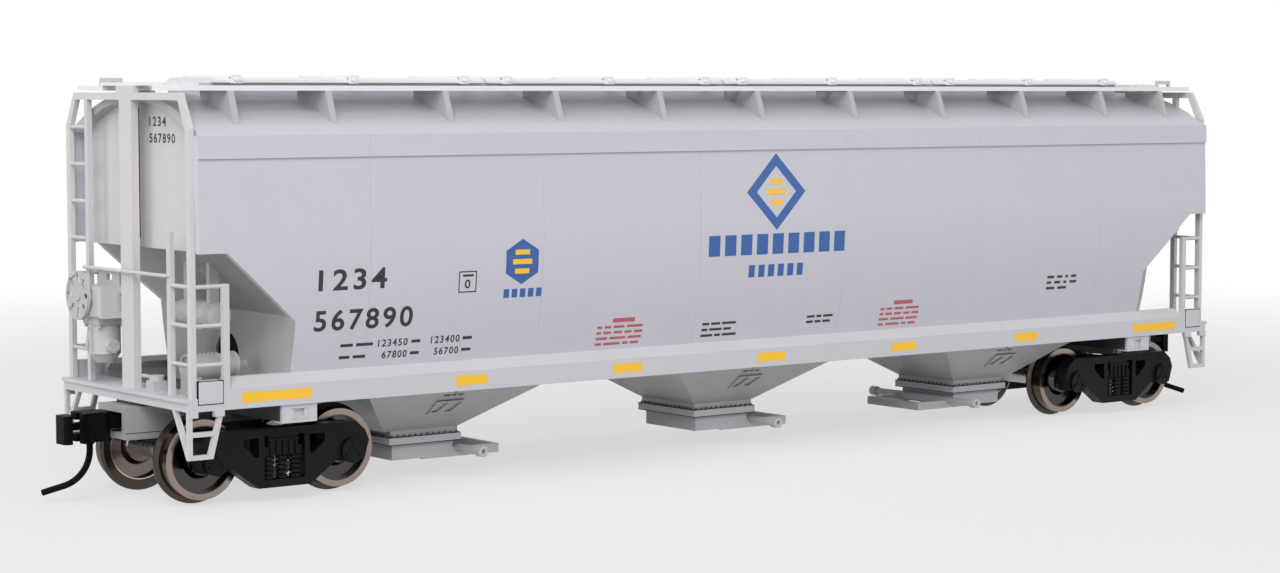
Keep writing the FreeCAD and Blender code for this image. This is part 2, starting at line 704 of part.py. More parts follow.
def slotted_plate(x0, x1, y0, y1, base, thickness, rows):
    """Flat walkway plate with rows of slots across it."""
    plate = block(x0, x1, y0, y1, base, base + thickness)
    row_width = (y1 - y0 - BOARD_RAIL) / rows
    count = int((x1 - x0 - BOARD_RAIL) / BOARD_SLOT_PITCH)
    first = (x0 + x1 - (count - 1) * BOARD_SLOT_PITCH - BOARD_SLOT_LENGTH) / 2
    slots = []
    for row in range(rows):
        low = y0 + BOARD_RAIL + row * row_width
        high = low + row_width - BOARD_RAIL
        for i in range(count):
            x = first + i * BOARD_SLOT_PITCH
            slots.append(block(x, x + BOARD_SLOT_LENGTH, low, high, 0, FAR))
    return cut(plate, slots)


def running_board():
    """Long walkway on the +Y side of the roof."""
    rows = 2
    end = BOARD_END
    return slotted_plate(-end, end, BOARD_INNER, BOARD_OUTER, BOARD_BOTTOM, BOARD_THICKNESS, rows)


def roof_platform():
    """Cross walkway at the B end, laid on both running boards and the saddle of the post."""
    rows = 4
    end = PLATFORM_DEPTH - BOARD_END
    half = BOARD_INNER + PLATFORM_LAP
    return slotted_plate(-BOARD_END, end, -half, half, BOARD_TOP, PLATFORM_THICKNESS, rows)


def roof_grab():
    """Handhold strap on the running board above the tall ladder at the B end."""
    centre = ROOF_GRAB_INSET - BOARD_END
    left = centre - ROOF_GRAB_HALF_LENGTH
    right = centre + ROOF_GRAB_HALF_LENGTH
    top = BOARD_TOP + ROOF_GRAB_RISE
    under = BOARD_TOP + ROOF_GRAB_GAP
    y0 = ROOF_GRAB_OFFSET - HANDRAIL_DIAMETER / 2
    y1 = y0 + HANDRAIL_DIAMETER
    strap = block(left, right, y0, y1, BOARD_TOP, top)
    gap = block(left + ROOF_GRAB_LEG, right - ROOF_GRAB_LEG, y0, y1, BOARD_TOP, under)
    return strap.cut(gap)


# End frames, ladders, steps and handrails, built at the B end


def end_post():
    """Corner post at the +Y side, from the end sill to the roof, with its sloping knee."""
    outer = POST_OUTER
    inner = outer - POST_WIDTH
    outline = [
        (inner, DECK_TOP),
        (outer, DECK_TOP),
        (outer, POST_KNEE_HEIGHT),
        (END_BEAM_HALF_SPREAD, ROOF_CROWN),
        (END_BEAM_HALF_SPREAD - POST_WIDTH, ROOF_CROWN),
        (inner, POST_KNEE_HEIGHT - POST_WIDTH / 2),
    ]
    return prism_along_x(outline, -END_FRAME_FACE, -BODY_END)


def end_beam():
    """Level beam between the two knees, under the roof platform."""
    half = END_BEAM_HALF_SPREAD
    low = ROOF_CROWN - END_BEAM_HEIGHT
    beam = block(-END_FRAME_FACE, -BODY_END, -half, half, low, ROOF_CROWN)
    post = end_post()
    return cut(beam, [post, across(post), centre_post()])


def centre_post():
    """Wide channel post on the centre line, from the end sill to the roof platform."""
    half = CENTRE_POST_HALF_WIDTH
    web = CENTRE_POST_WEB
    depth = END_SHEET_FACE
    face = block(-END_FRAME_FACE, web - END_FRAME_FACE, -half, half, DECK_TOP, ROOF_CROWN)
    flange = block(-END_FRAME_FACE, -BODY_END + web, half - web, half, DECK_TOP, ROOF_CROWN)
    cleat_low = PANEL_CORNER_HEIGHT + SHEET_THICKNESS
    cleat = block(-END_FRAME_FACE, -depth, -web / 2, web / 2, cleat_low, PANEL_TOP)
    reach = SADDLE_HALF_WIDTH
    saddle = block(-END_FRAME_FACE, -BODY_END, -reach, reach, ROOF_CROWN, BOARD_TOP)
    post = joined([face, flange, across(flange), cleat, saddle])
    return post.cut(roof_cylinder(ROOF_RADIUS, BODY_END - ROOF_END_INSET))


def rung_heights(count):
    return [RUNG_LOWEST + i * RUNG_PITCH for i in range(count)]


def end_ladder(top, rungs):
    """Inner stile and rungs, at the +Y side. The corner post is the other stile."""
    x = -(END_FRAME_FACE + BODY_END) / 2
    inner = STILE_OFFSET
    middle = inner + STILE_WIDTH / 2
    outer = POST_OUTER - POST_WIDTH
    pieces = [block(-END_FRAME_FACE, -BODY_END, inner, inner + STILE_WIDTH, DECK_TOP, top)]
    for z in rung_heights(rungs):
        pieces.append(bar(vector(x, middle, z), vector(x, outer, z), RUNG_DIAMETER))
    return joined(pieces).cut(end_post())


def tall_ladder():
    """Full-height end ladder. Its stile reaches the sloping knee's beam."""
    top = ROOF_CROWN - END_BEAM_HEIGHT
    return end_ladder(top, TALL_LADDER_RUNGS)


def low_ladder():
    """Short end ladder on the -Y side of the B end."""
    return across(end_ladder(LOW_LADDER_TOP, LOW_LADDER_RUNGS))


def side_ladder():
    """Ladder on the +Y side at the B end, from its stile by the sill to the corner post."""
    outer = SILL_HALF_WIDTH
    inner = outer - SIDE_LADDER_DEPTH
    x1 = -SILL_END
    x0 = x1 - SIDE_LADDER_STILE_WIDTH
    pieces = [block(x0, x1, inner, outer, SILL_BOTTOM, SIDE_LADDER_TOP)]
    y = POST_OUTER - RUNG_DIAMETER / 2
    for z in rung_heights(LOW_LADDER_RUNGS):
        pieces.append(bar(vector(-BODY_END, y, z), vector((x0 + x1) / 2, y, z), RUNG_DIAMETER))
    return joined(pieces)


def corner_step():
    """Stirrup step under the +Y corner of the B end, with a slanted leg and a brace inward."""
    y1 = SILL_HALF_WIDTH
    y0 = y1 - STEP_BAR
    top = SILL_BOTTOM
    left = -END_SILL_FRONT
    right = left + STEP_LENGTH
    top_right = -END_SILL_BACK
    low = STEP_FOOT + STEP_BAR
    outline = [
        (left, top),
        (left, STEP_FOOT),
        (right, STEP_FOOT),
        (top_right, top),
        (top_right - STEP_BAR, top),
        (right - STEP_BAR, low),
        (left + STEP_BAR, low),
        (left + STEP_BAR, top),
    ]
    frame = prism_along_y(outline, y0, y1)
    tread = block(left, top_right, y0, y1, STEP_TREAD, STEP_TREAD + STEP_BAR)
    tread = tread.common(prism_along_y(outline[:4], y0, y1))
    brace = [
        (y1, STEP_FOOT),
        (y1, low),
        (y1 - STEP_BRACE_RUN + STEP_BAR, top),
        (y1 - STEP_BRACE_RUN, top),
        (y0, STEP_FOOT),
    ]
    pieces = [frame, tread, prism_along_x(brace, left, left + STEP_BAR)]
    for x in (left, top_right - STEP_PAD_LENGTH):
        pieces.append(block(x, x + STEP_PAD_LENGTH, y0, y1 + STEP_PAD_PROUD,
                            top - STEP_PAD_HEIGHT, top))
    return joined(pieces)


def end_handrail():
    """Rail across the B end, from the tall ladder's stile to the low ladder's stile."""
    x = -END_FRAME_FACE - HANDRAIL_STANDOFF
    y = STILE_OFFSET + STILE_WIDTH / 2
    z = HANDRAIL_HEIGHT
    points = [vector(-END_FRAME_FACE, y, z), vector(x, y, z)]
    points += [vector(x, -y, z), vector(-END_FRAME_FACE, -y, z)]
    return bent_rail(points, HANDRAIL_DIAMETER)


# Sills and underframe


def side_sill():
    """Side sill on the +Y side: a web with a sloping ledge up to the panel's foot."""
    outer = curve_y(PANEL_FOOT, 0)
    inner = curve_y(PANEL_FOOT, PANEL_THICKNESS)
    thickness = SILL_FLANGE_THICKNESS
    outline = [
        (SILL_WEB_INNER, SILL_BOTTOM),
        (SILL_HALF_WIDTH, SILL_BOTTOM),
        (SILL_HALF_WIDTH, SILL_WEB_TOP),
        (outer, PANEL_FOOT),
        (inner, PANEL_FOOT),
        (inner, PANEL_FOOT - thickness),
        (outer - thickness / 2, PANEL_FOOT - thickness),
        (SILL_WEB_INNER, SILL_WEB_TOP - thickness / 2),
    ]
    return prism_along_x(outline, -SILL_END, SILL_END)


def end_sill():
    """Boxed cross sill and deck at the B end, with a rounded cap at each side."""
    front = -END_SILL_FRONT
    back = -END_SILL_BACK
    half = SILL_HALF_WIDTH
    wall = END_SILL_WALL
    beam = block(front, back, -half, half, SILL_BOTTOM, DECK_TOP)
    inside = block(front + wall, back - wall, wall - half, half - wall, 0, DECK_TOP - wall)
    lip = block(front - DECK_LIP, back, -half, half, DECK_TOP - DECK_LIP_THICKNESS, DECK_TOP)
    cap_top = DECK_TOP + END_CAP_HEIGHT
    cap = block(-BODY_END, back, half - END_CAP_THICKNESS, half, DECK_TOP, cap_top)
    corners = [e for e in cap.Edges if is_top_across(e, cap_top)]
    cap = cap.makeFillet(END_CAP_ROUND, corners)
    return joined([beam.cut(inside), lip.cut(inside), cap, across(cap)])


def is_top_across(edge, height):
    """True for an edge that lies across the car at the given height."""
    box = edge.BoundBox
    return abs(box.ZMin - height) < TOLERANCE and box.YLength > box.XLength


def underframe():
    """Floor, stub sills and body bolsters in one casting, with the truck screw holes."""
    side = SILL_WEB_INNER
    half = STUB_SILL_HALF_WIDTH
    floor = block(-FLOOR_END, FLOOR_END, -side, side, FLOOR_BOTTOM, FLOOR_TOP)
    stub = block(STUB_SILL_INNER_END, DRAFT_BOX_BACK, -half, half, STUB_SILL_BOTTOM, FLOOR_BOTTOM)
    tongue_end = END_SILL_FRONT - END_SILL_WALL
    tongue = block(DRAFT_BOX_BACK, tongue_end, -half, half, DRAFT_BOX_TOP, SILL_BOTTOM)
    bolster = body_bolster()
    pieces = [floor, stub, tongue, bolster, turned(stub), turned(tongue), turned(bolster)]
    holes = [screw_shank(x) for x in (-TRUCK_X, TRUCK_X)]
    return cut(joined(pieces), holes)


def body_bolster():
    """Cross beam over the +X truck, between the side sills."""
    x0 = TRUCK_X - BODY_BOLSTER_HALF
    x1 = TRUCK_X + BODY_BOLSTER_HALF
    side = SILL_WEB_INNER
    return block(x0, x1, -side, side, FLOOR_BOTTOM - BODY_BOLSTER_DEPTH, FLOOR_BOTTOM)


def jacking_pad():
    """Pad under the side sill at the B end bolster, with a square socket in its face."""
    x = -TRUCK_X
    face = SILL_HALF_WIDTH - PAD_INSET
    low = SILL_BOTTOM - PAD_DROP
    middle = SILL_BOTTOM - PAD_DROP / 2
    half = PAD_HALF_LENGTH
    pad = block(x - half, x + half, face - PAD_THICKNESS, face, low, SILL_BOTTOM)
    half = PAD_SOCKET_HALF
    socket = block(x - half, x + half, face - PAD_SOCKET_DEPTH, face, middle - half, middle + half)
    return cut(pad, [socket, turned(body_bolster())])


def ballast_weight():
    """Steel bar that lies on the floor inside the body."""
    half_length = SLOPE_FOOT_X - SHEET_THICKNESS / SLOPE_PITCH - BALLAST_GAP
    half_width = curve_y(PANEL_FOOT, PANEL_THICKNESS) - BALLAST_GAP
    top = FLOOR_TOP + BALLAST_THICKNESS
    return block(-half_length, half_length, -half_width, half_width, FLOOR_TOP, top)


# Hopper bays and outlet gates
# Each bay is its gate's centre, its mouth's two ends and its foot's two ends from that centre,
# and the side on which its gate slides out.

MOUTH = BAY_MOUTH_HALF_LENGTH
FOOT = BAY_FOOT_HALF_LENGTH
BAYS = [
    (-BAY_SPACING, -END_BAY_MOUTH_REACH, MOUTH, -END_BAY_FOOT_REACH, FOOT, 1),
    (0, -MOUTH, MOUTH, -FOOT, FOOT, 1),
    (BAY_SPACING, -MOUTH, END_BAY_MOUTH_REACH, -FOOT, END_BAY_FOOT_REACH, -1),
]


def rectangle(x0, x1, half_width, z):
    corners = [(x0, -half_width), (x1, -half_width), (x1, half_width), (x0, half_width)]
    points = [vector(x, y, z) for x, y in corners]
    return Part.makePolygon(points + points[:1])


def bay_funnel(bay, wall):
    """Tapered block of one bay about its gate's centre, drawn in by wall."""
    _, mouth_low, mouth_high, foot_low, foot_high, _ = bay
    half = BAY_MOUTH_HALF_WIDTH - wall
    top = rectangle(mouth_low + wall, mouth_high - wall, half, FLOOR_BOTTOM)
    half = BAY_FOOT_HALF_WIDTH - wall
    low = rectangle(foot_low + wall, foot_high - wall, half, BAY_FOOT)
    return Part.makeLoft([top, low], True, True)


def vibrator_bracket():
    """Bracket with two slanted slots on the +Y face of a bay."""
    slope = (BAY_MOUTH_HALF_WIDTH - BAY_FOOT_HALF_WIDTH) / (FLOOR_BOTTOM - BAY_FOOT)
    base = BAY_FOOT_HALF_WIDTH + slope * (VIBRATOR_HEIGHT - BAY_FOOT)
    low = VIBRATOR_HEIGHT - VIBRATOR_HALF_HEIGHT
    high = VIBRATOR_HEIGHT + VIBRATOR_HALF_HEIGHT
    drift = slope * VIBRATOR_HALF_HEIGHT
    outline = [
        (base - drift - VIBRATOR_RELIEF, low),
        (base - drift + VIBRATOR_RELIEF, low),
        (base + drift + VIBRATOR_RELIEF, high),
        (base + drift - VIBRATOR_RELIEF, high),
    ]
    half = VIBRATOR_HALF_LENGTH
    plate = prism_along_x(outline, VIBRATOR_SHIFT - half, VIBRATOR_SHIFT + half)
    slots = []
    for side in (-1, 1):
        x = VIBRATOR_SHIFT + side * half / 2 - VIBRATOR_SLOT / 2 - VIBRATOR_LEAN / 2
        slot = [
            (x, low + VIBRATOR_RIM),
            (x + VIBRATOR_SLOT, low + VIBRATOR_RIM),
            (x + VIBRATOR_SLOT + VIBRATOR_LEAN, high - VIBRATOR_RIM),
            (x + VIBRATOR_LEAN, high - VIBRATOR_RIM),
        ]
        slots.append(prism_along_y(slot, 0, FAR))
    return cut(plate, slots)


def hopper_bay(bay):
    """One hollow hopper bay with its collar and a vibrator bracket on each side."""
    x = BAY_FOOT_HALF_LENGTH
    y = BAY_FOOT_HALF_WIDTH
    collar = block(-x, x, -y, y, COLLAR_BOTTOM, BAY_FOOT)
    x = x - BAY_WALL
    y = y - BAY_WALL
    bore = block(-x, x, -y, y, COLLAR_BOTTOM, BAY_FOOT)
    bracket = vibrator_bracket()
    shell = joined([bay_funnel(bay, 0), collar, bracket, across(bracket)])
    return cut(shell, [bay_funnel(bay, BAY_WALL), bore]).translated(vector(bay[0], 0, 0))


def outlet_gate(bay):
    """Outlet frame with its flange, slide rails and closed slide under one bay."""
    x = GATE_FLANGE_HALF_LENGTH
    y = GATE_FLANGE_HALF_WIDTH
    flange = block(-x, x, -y, y, GATE_TOP, COLLAR_BOTTOM)
    x = GATE_HALF_LENGTH
    y = GATE_HALF_WIDTH
    body = block(-x, x, -y, y, GATE_BOTTOM, GATE_TOP)
    wall = GATE_WALL
    well = block(wall - x, x - wall, wall - y, y - wall, GATE_BOTTOM + wall, FAR)
    top = RACK_BOTTOM + RACK_HEIGHT
    rail = block(0, RACK_REACH, y - RACK_WIDTH, y, RACK_BOTTOM, top)
    end = block(RACK_REACH - RACK_WIDTH, RACK_REACH, -y, y, RACK_BOTTOM, top)
    gate = cut(joined([flange, body, rail, across(rail), end]), [well, shaft_bar(SHAFT_CLEARANCE)])
    if bay[-1] < 0:
        gate = turned(gate)
    return gate.translated(vector(bay[0], 0, 0))


def shaft_bar(clearance):
    """Opening shaft of a gate, or the space for it, about the gate's centre."""
    low = vector(GATE_SHAFT_OFFSET, -GATE_SHAFT_HALF_LENGTH, GATE_SHAFT_HEIGHT)
    return disc(low, ACROSS, GATE_SHAFT_DIAMETER + 2 * clearance, 2 * GATE_SHAFT_HALF_LENGTH)


def gate_shaft(bay):
    """Opening shaft across one gate, with a capstan at each end."""
    x = GATE_SHAFT_OFFSET
    z = GATE_SHAFT_HEIGHT
    end = GATE_SHAFT_HALF_LENGTH
    capstan = disc(vector(x, end - CAPSTAN_LENGTH, z), ACROSS, CAPSTAN_DIAMETER, CAPSTAN_LENGTH)
    half = CAPSTAN_SOCKET / 2
    key = block(x - half, x + half, end - CAPSTAN_SOCKET, end, z - half, z + half)
    shaft = cut(joined([shaft_bar(0), capstan, across(capstan)]), [key, across(key)])
    if bay[-1] < 0:
        shaft = turned(shaft)
    return shaft.translated(vector(bay[0], 0, 0))


# Trucks


def screw_shank(x):
    """Shank of a truck screw, from under the bolster up into the stub sill."""
    low = BOLSTER_BOTTOM - SCREW_HEAD_GAP
    return disc(vector(x, 0, low), UP, SCREW_DIAMETER, STUB_SILL_BOTTOM + SCREW_BITE - low)


def truck_screw(x):
    """Pan-head screw that a truck turns on."""
    low = BOLSTER_BOTTOM - SCREW_HEAD_GAP - SCREW_HEAD_HEIGHT
    head = disc(vector(x, 0, low), UP, SCREW_HEAD_DIAMETER, SCREW_HEAD_HEIGHT)
    half = SCREW_SLOT_WIDTH / 2
    slot = block(x - FAR, x + FAR, -half, half, 0, low + SCREW_SLOT_DEPTH)
    return cut(joined([screw_shank(x), head]), [slot])


def frame_outline():
    """Outline of a side frame, as (x, z) points from its centre."""
    end = AXLE_X + FRAME_END_OVERHANG
    half = [
        (FRAME_PLANK_HALF, FRAME_BOTTOM),
        (AXLE_X - PEDESTAL_HALF, PEDESTAL_BOTTOM + CHORD_WIDTH / 2),
        (AXLE_X - PEDESTAL_HALF + CHORD_WIDTH / 4, PEDESTAL_BOTTOM),
        (AXLE_X + PEDESTAL_HALF, PEDESTAL_BOTTOM),
        (end, AXLE_HEIGHT + CHORD_WIDTH),
        (end - CHORD_WIDTH / 2, FRAME_END_TOP),
        (FRAME_SHOULDER, FRAME_TOP),
    ]
    return half + [(-x, z) for x, z in reversed(half)]


def frame_window():
    """Triangular window beside the spring pocket, on the +X side."""
    near = SPRING_POCKET_HALF + CHORD_WIDTH * 2 / 3
    top = FRAME_TOP - CHORD_WIDTH
    far = AXLE_X - PEDESTAL_HALF - WINDOW_END_MARGIN
    low = SPRING_POCKET_BOTTOM + WINDOW_LOW_MARGIN
    shoulder = (top + AXLE_HEIGHT) / 2 + CHORD_WIDTH / 3
    return [(near, top), (far, top), (far, shoulder), (near + CHORD_WIDTH / 2, low), (near, low)]


def side_frame():
    """Cast side frame of a truck on the +Y side."""
    frame = prism_along_y(frame_outline(), FRAME_INNER, FRAME_OUTER)
    window = frame_window()
    mirrored_window = [(-x, z) for x, z in window]
    half = SPRING_POCKET_HALF
    pocket = block(-half, half, 0, FAR, SPRING_POCKET_BOTTOM, BOLSTER_TOP - CHORD_WIDTH / 3)
    openings = [prism_along_y(window, 0, FAR), prism_along_y(mirrored_window, 0, FAR), pocket]
    frame = cut(frame, openings)
    pieces = [frame]
    for x in (-AXLE_X, AXLE_X):
        centre = vector(x, FRAME_OUTER, AXLE_HEIGHT)
        pieces.append(disc(centre, ACROSS, BEARING_CAP_DIAMETER, BEARING_CAP_DEPTH))
    return joined(pieces)


def spring_column(x):
    """One spring of a side frame, as a core with a ring for each turn."""
    low = SPRING_POCKET_BOTTOM
    y = FRAME_OUTER - SPRING_DIAMETER / 2 - SPRING_INSET
    height = BOLSTER_BOTTOM - low
    core = disc(vector(x, y, low), UP, SPRING_DIAMETER - 2 * SPRING_WIRE, height)
    pitch = height / SPRING_TURNS
    rings = []
    for i in range(SPRING_TURNS):
        z = low + (i + 0.5) * pitch - SPRING_WIRE / 2
        rings.append(disc(vector(x, y, z), UP, SPRING_DIAMETER, SPRING_WIRE))
    return joined([core] + rings)


def truck_bolster():
    """Cross beam between the side frames, with the centre plate on top."""
    half = BOLSTER_HALF
    reach = FRAME_OUTER - CHORD_WIDTH / 3
    beam = block(-half, half, -reach, reach, BOLSTER_BOTTOM, BOLSTER_TOP)
    plate = disc(vector(0, 0, BOLSTER_TOP), UP, CENTRE_PLATE_DIAMETER, CENTRE_PLATE_HEIGHT)
    half = SPRING_POCKET_HALF
    lug_top = BOLSTER_BOTTOM + CHORD_WIDTH
    lug = block(-half, half, FRAME_INNER, reach, BOLSTER_BOTTOM, lug_top)
    return [beam, plate, lug, across(lug)]


def axle_pocket(x):
    """Cone-ended bearing pocket for one axle, on the +Y side."""
    tip = AXLE_LENGTH / 2 + BEARING_CLEARANCE
    radius = AXLE_DIAMETER / 2 + BEARING_CLEARANCE
    start = tip - POINT_LENGTH
    cone = Part.makeCone(radius, 0, POINT_LENGTH, vector(x, start, AXLE_HEIGHT), ACROSS)
    bore = Part.makeCylinder(radius, start, vector(x, 0, AXLE_HEIGHT), ACROSS)
    return joined([bore, cone])


def truck_frame(place):
    """Truck frame: two side frames, six springs and the bolster, in one moulding."""
    side = side_frame()
    pitch = 2 * SPRING_POCKET_HALF / SPRING_COUNT
    columns = [spring_column((i - (SPRING_COUNT - 1) / 2) * pitch) for i in range(SPRING_COUNT)]
    pieces = [side, across(side)] + truck_bolster() + columns + [across(c) for c in columns]
    frame = joined(pieces)
    pockets = []
    for x in (-AXLE_X, AXLE_X):
        pocket = axle_pocket(x)
        pockets += [pocket, across(pocket)]
    king = SCREW_DIAMETER + 2 * SCREW_CLEARANCE
    pockets.append(disc(ORIGIN, UP, king, FAR))
    return cut(frame, pockets).translated(vector(place, 0, 0))


def axle(x):
    """Turned steel axle with pointed ends."""
    straight = AXLE_LENGTH / 2 - POINT_LENGTH
    radius = AXLE_DIAMETER / 2
    rod = bar(vector(x, -straight, AXLE_HEIGHT), vector(x, straight, AXLE_HEIGHT), AXLE_DIAMETER)
    point = Part.makeCone(radius, 0, POINT_LENGTH, vector(x, straight, AXLE_HEIGHT), ACROSS)
    return joined([rod, point, across(point)])


def wheel(x):
    """Wheel on the +Y side: flange, tread, dished plate and hub, bored for the axle."""
    back = BACK_TO_BACK / 2
    face = back + WHEEL_WIDTH
    tread = TREAD_DIAMETER / 2
    flange = tread + FLANGE_DEPTH
    rim = tread - RIM_THICKNESS
    hub = HUB_DIAMETER / 2
    bore = AXLE_DIAMETER / 2
    web_back = back + (WHEEL_WIDTH - PLATE_THICKNESS) / 2
    web_face = web_back + PLATE_THICKNESS
    section = [
        (bore, back),
        (hub, back),
        (hub + PLATE_THICKNESS / 2, web_back),
        (rim, web_back),
        (rim, back),
        (tread + FLANGE_DEPTH / 3, back),
        (flange, back + FLANGE_WIDTH / 3),
        (flange, back + FLANGE_WIDTH * 2 / 3),
        (tread, back + FLANGE_WIDTH),
        (tread, face),
        (rim, face),
        (rim, web_face),
        (hub + PLATE_THICKNESS / 2, web_face),
        (hub, face),
        (bore, face),
    ]
    points = [vector(x, y, AXLE_HEIGHT + r) for r, y in section]
    outline = Part.Face(Part.makePolygon(points + points[:1]))
    return outline.revolve(vector(x, 0, AXLE_HEIGHT), ACROSS, 360)


# Draft boxes and couplers, built at the B end


def draft_box():
    """Coupler box with its pivot post, open below and at the front."""
    wall = DRAFT_BOX_WALL
    half = DRAFT_BOX_HALF_WIDTH
    front = -DRAFT_BOX_FRONT
    back = -DRAFT_BOX_BACK
    top = DRAFT_POCKET_TOP
    box = block(front, back, -half, half, LID_TOP, DRAFT_BOX_TOP)
    pocket = block(front + wall, back - wall, wall - half, half - wall, LID_TOP, top)
    mouth = DRAFT_BOX_MOUTH_HALF
    slot = block(front, front + wall, -mouth, mouth, LID_TOP, top)
    post = disc(vector(-COUPLER_PIVOT, 0, LID_TOP), UP, BOX_POST_DIAMETER, top - LID_TOP)
    return cut(joined([cut(box, [pocket, slot]), post]), [lid_screw_shank()])


def draft_lid():
    """Cover plate under the coupler box."""
    half = DRAFT_BOX_HALF_WIDTH
    plate = block(-DRAFT_BOX_FRONT, -DRAFT_BOX_BACK, -half, half, LID_BOTTOM, LID_TOP)
    return cut(plate, [lid_screw_shank()])


def lid_screw_shank():
    low = vector(-COUPLER_PIVOT, 0, LID_BOTTOM)
    return disc(low, UP, LID_SCREW_DIAMETER, LID_SCREW_LENGTH)


def lid_screw():
    """Screw that holds a lid to the box post."""
    low = vector(-COUPLER_PIVOT, 0, LID_BOTTOM - LID_SCREW_HEAD_HEIGHT)
    head = disc(low, UP, LID_SCREW_HEAD_DIAMETER, LID_SCREW_HEAD_HEIGHT)
    return joined([head, lid_screw_shank()])


def knuckle_axis(z):
    """Point on the knuckle's hinge line at a height."""
    return vector(-KNUCKLE_PIVOT, KNUCKLE_PIVOT_OFFSET, z)


def coupler():
    """Coupler shank and head, with the guard arm on the -Y side."""
    pivot = -COUPLER_PIVOT
    height = SHANK_HEIGHT
    low = COUPLER_HEIGHT - height / 2
    half = SHANK_HALF_WIDTH
    shoulder = -HEAD_BACK - HEAD_SHOULDER
    ring = disc(vector(pivot, 0, low), UP, SHANK_RING_DIAMETER, height)
    shank = block(shoulder, pivot, -half, half, low, low + height)
    side = HEAD_HALF_WIDTH
    arm = GUARD_ARM_WIDTH
    spread = side + GUARD_ARM_SPREAD
    outline = [
        (-HEAD_BACK, -half),
        (shoulder, -side),
        (arm - THROAT, -side),
        (-GUARD_ARM_END, -spread),
        (-GUARD_ARM_END, arm - spread),
        (arm / 2 - THROAT, arm - side),
        (arm / 2 - THROAT, 0),
        (-THROAT, 0),
        (-THROAT, side - HEAD_CHAMFER),
        (HEAD_CHAMFER - THROAT, side),
        (shoulder, side),
        (-HEAD_BACK, half),
    ]
    head = prism_along_z(outline, HEAD_BOTTOM, HEAD_TOP)
    gap = KNUCKLE_HUB_HALF_HEIGHT + KNUCKLE_SLOT_GAP
    radius = KNUCKLE_HUB_DIAMETER / 2 + KNUCKLE_SLOT_GAP
    well = disc(knuckle_axis(HEAD_MIDDLE - gap), UP, 2 * radius, 2 * gap)
    slot = block(-FAR, -KNUCKLE_PIVOT, KNUCKLE_PIVOT_OFFSET - radius, FAR, HEAD_MIDDLE - gap,
                 HEAD_MIDDLE + gap)
    pivot_bore = disc(knuckle_axis(0), UP, KNUCKLE_STUB_DIAMETER + 2 * KNUCKLE_BORE_CLEARANCE, FAR)
    post_bore = disc(vector(pivot, 0, 0), UP, BOX_POST_DIAMETER + 2 * COUPLER_BORE_CLEARANCE, FAR)
    return cut(joined([ring, shank, head]), [joined([well, slot]), pivot_bore, post_bore])


def knuckle():
    """Hinged knuckle with its stubs and the disc that carries the trip pin."""
    half = KNUCKLE_HUB_HALF_HEIGHT
    hub = disc(knuckle_axis(HEAD_MIDDLE - half), UP, KNUCKLE_HUB_DIAMETER, 2 * half)
    carrier = disc(knuckle_axis(CARRIER_BOTTOM), UP, TRIP_DISC_DIAMETER, TRIP_DISC_THICKNESS)
    stub = disc(knuckle_axis(CARRIER_BOTTOM), UP, KNUCKLE_STUB_DIAMETER, HEAD_TOP - CARRIER_BOTTOM)
    px = -KNUCKLE_PIVOT
    py = KNUCKLE_PIVOT_OFFSET
    root = px - KNUCKLE_ROOT
    face = px - KNUCKLE_FACE
    back = py + KNUCKLE_BACK_WIDTH
    tip = py - KNUCKLE_NOSE_REACH
    inner = face + KNUCKLE_NOSE_DEPTH
    edge = KNUCKLE_CHAMFER
    half = KNUCKLE_ARM_HALF_HEIGHT
    wide = KNUCKLE_ARM_WIDTH / 2
    arm = block(inner, px, py - wide, py + wide, HEAD_MIDDLE - half, HEAD_MIDDLE + half)
    outline = [
        (root, back),
        (face + edge, back),
        (face, back - edge),
        (face, tip + edge),
        (face + edge, tip),
        (inner, tip),
        (inner, py - wide - edge),
        (root, py - wide),
    ]
    low = HEAD_MIDDLE - KNUCKLE_DROP - KNUCKLE_HALF_HEIGHT
    nose = prism_along_z(outline, low, low + 2 * KNUCKLE_HALF_HEIGHT)
    return cut(joined([hub, carrier, stub, arm, nose]), [trip_pin()])


def trip_pin():
    """Curved steel uncoupling pin that hangs from the knuckle's disc."""
    heading = math.radians(TRIP_PIN_HEADING)
    turn = math.radians(TRIP_PIN_TURN)
    ahead = vector(math.cos(heading), math.sin(heading), 0)
    radius = TRIP_PIN_BEND
    top = knuckle_axis(CARRIER_TOP) - vector(0, TRIP_PIN_OFFSET, 0)
    drop = radius * math.sin(turn) + TRIP_PIN_TAIL * math.cos(turn)
    bend_start = vector(top.x, top.y, TRIP_PIN_END_HEIGHT + drop)
    hub = bend_start + ahead * radius
    bend_middle = hub - (ahead * math.cos(turn / 2) + UP * math.sin(turn / 2)) * radius
    bend_end = hub - (ahead * math.cos(turn) + UP * math.sin(turn)) * radius
    end = bend_end + (ahead * math.sin(turn) - UP * math.cos(turn)) * TRIP_PIN_TAIL
    path = Part.Wire([
        Part.LineSegment(top, bend_start).toShape(),
        Part.Arc(bend_start, bend_middle, bend_end).toShape(),
        Part.LineSegment(bend_end, end).toShape(),
    ])
    section = Part.Wire(Part.Circle(top, UP, TRIP_PIN_DIAMETER / 2).toShape())
    return path.makePipeShell([section], True, False)


# Brake gear on the B end


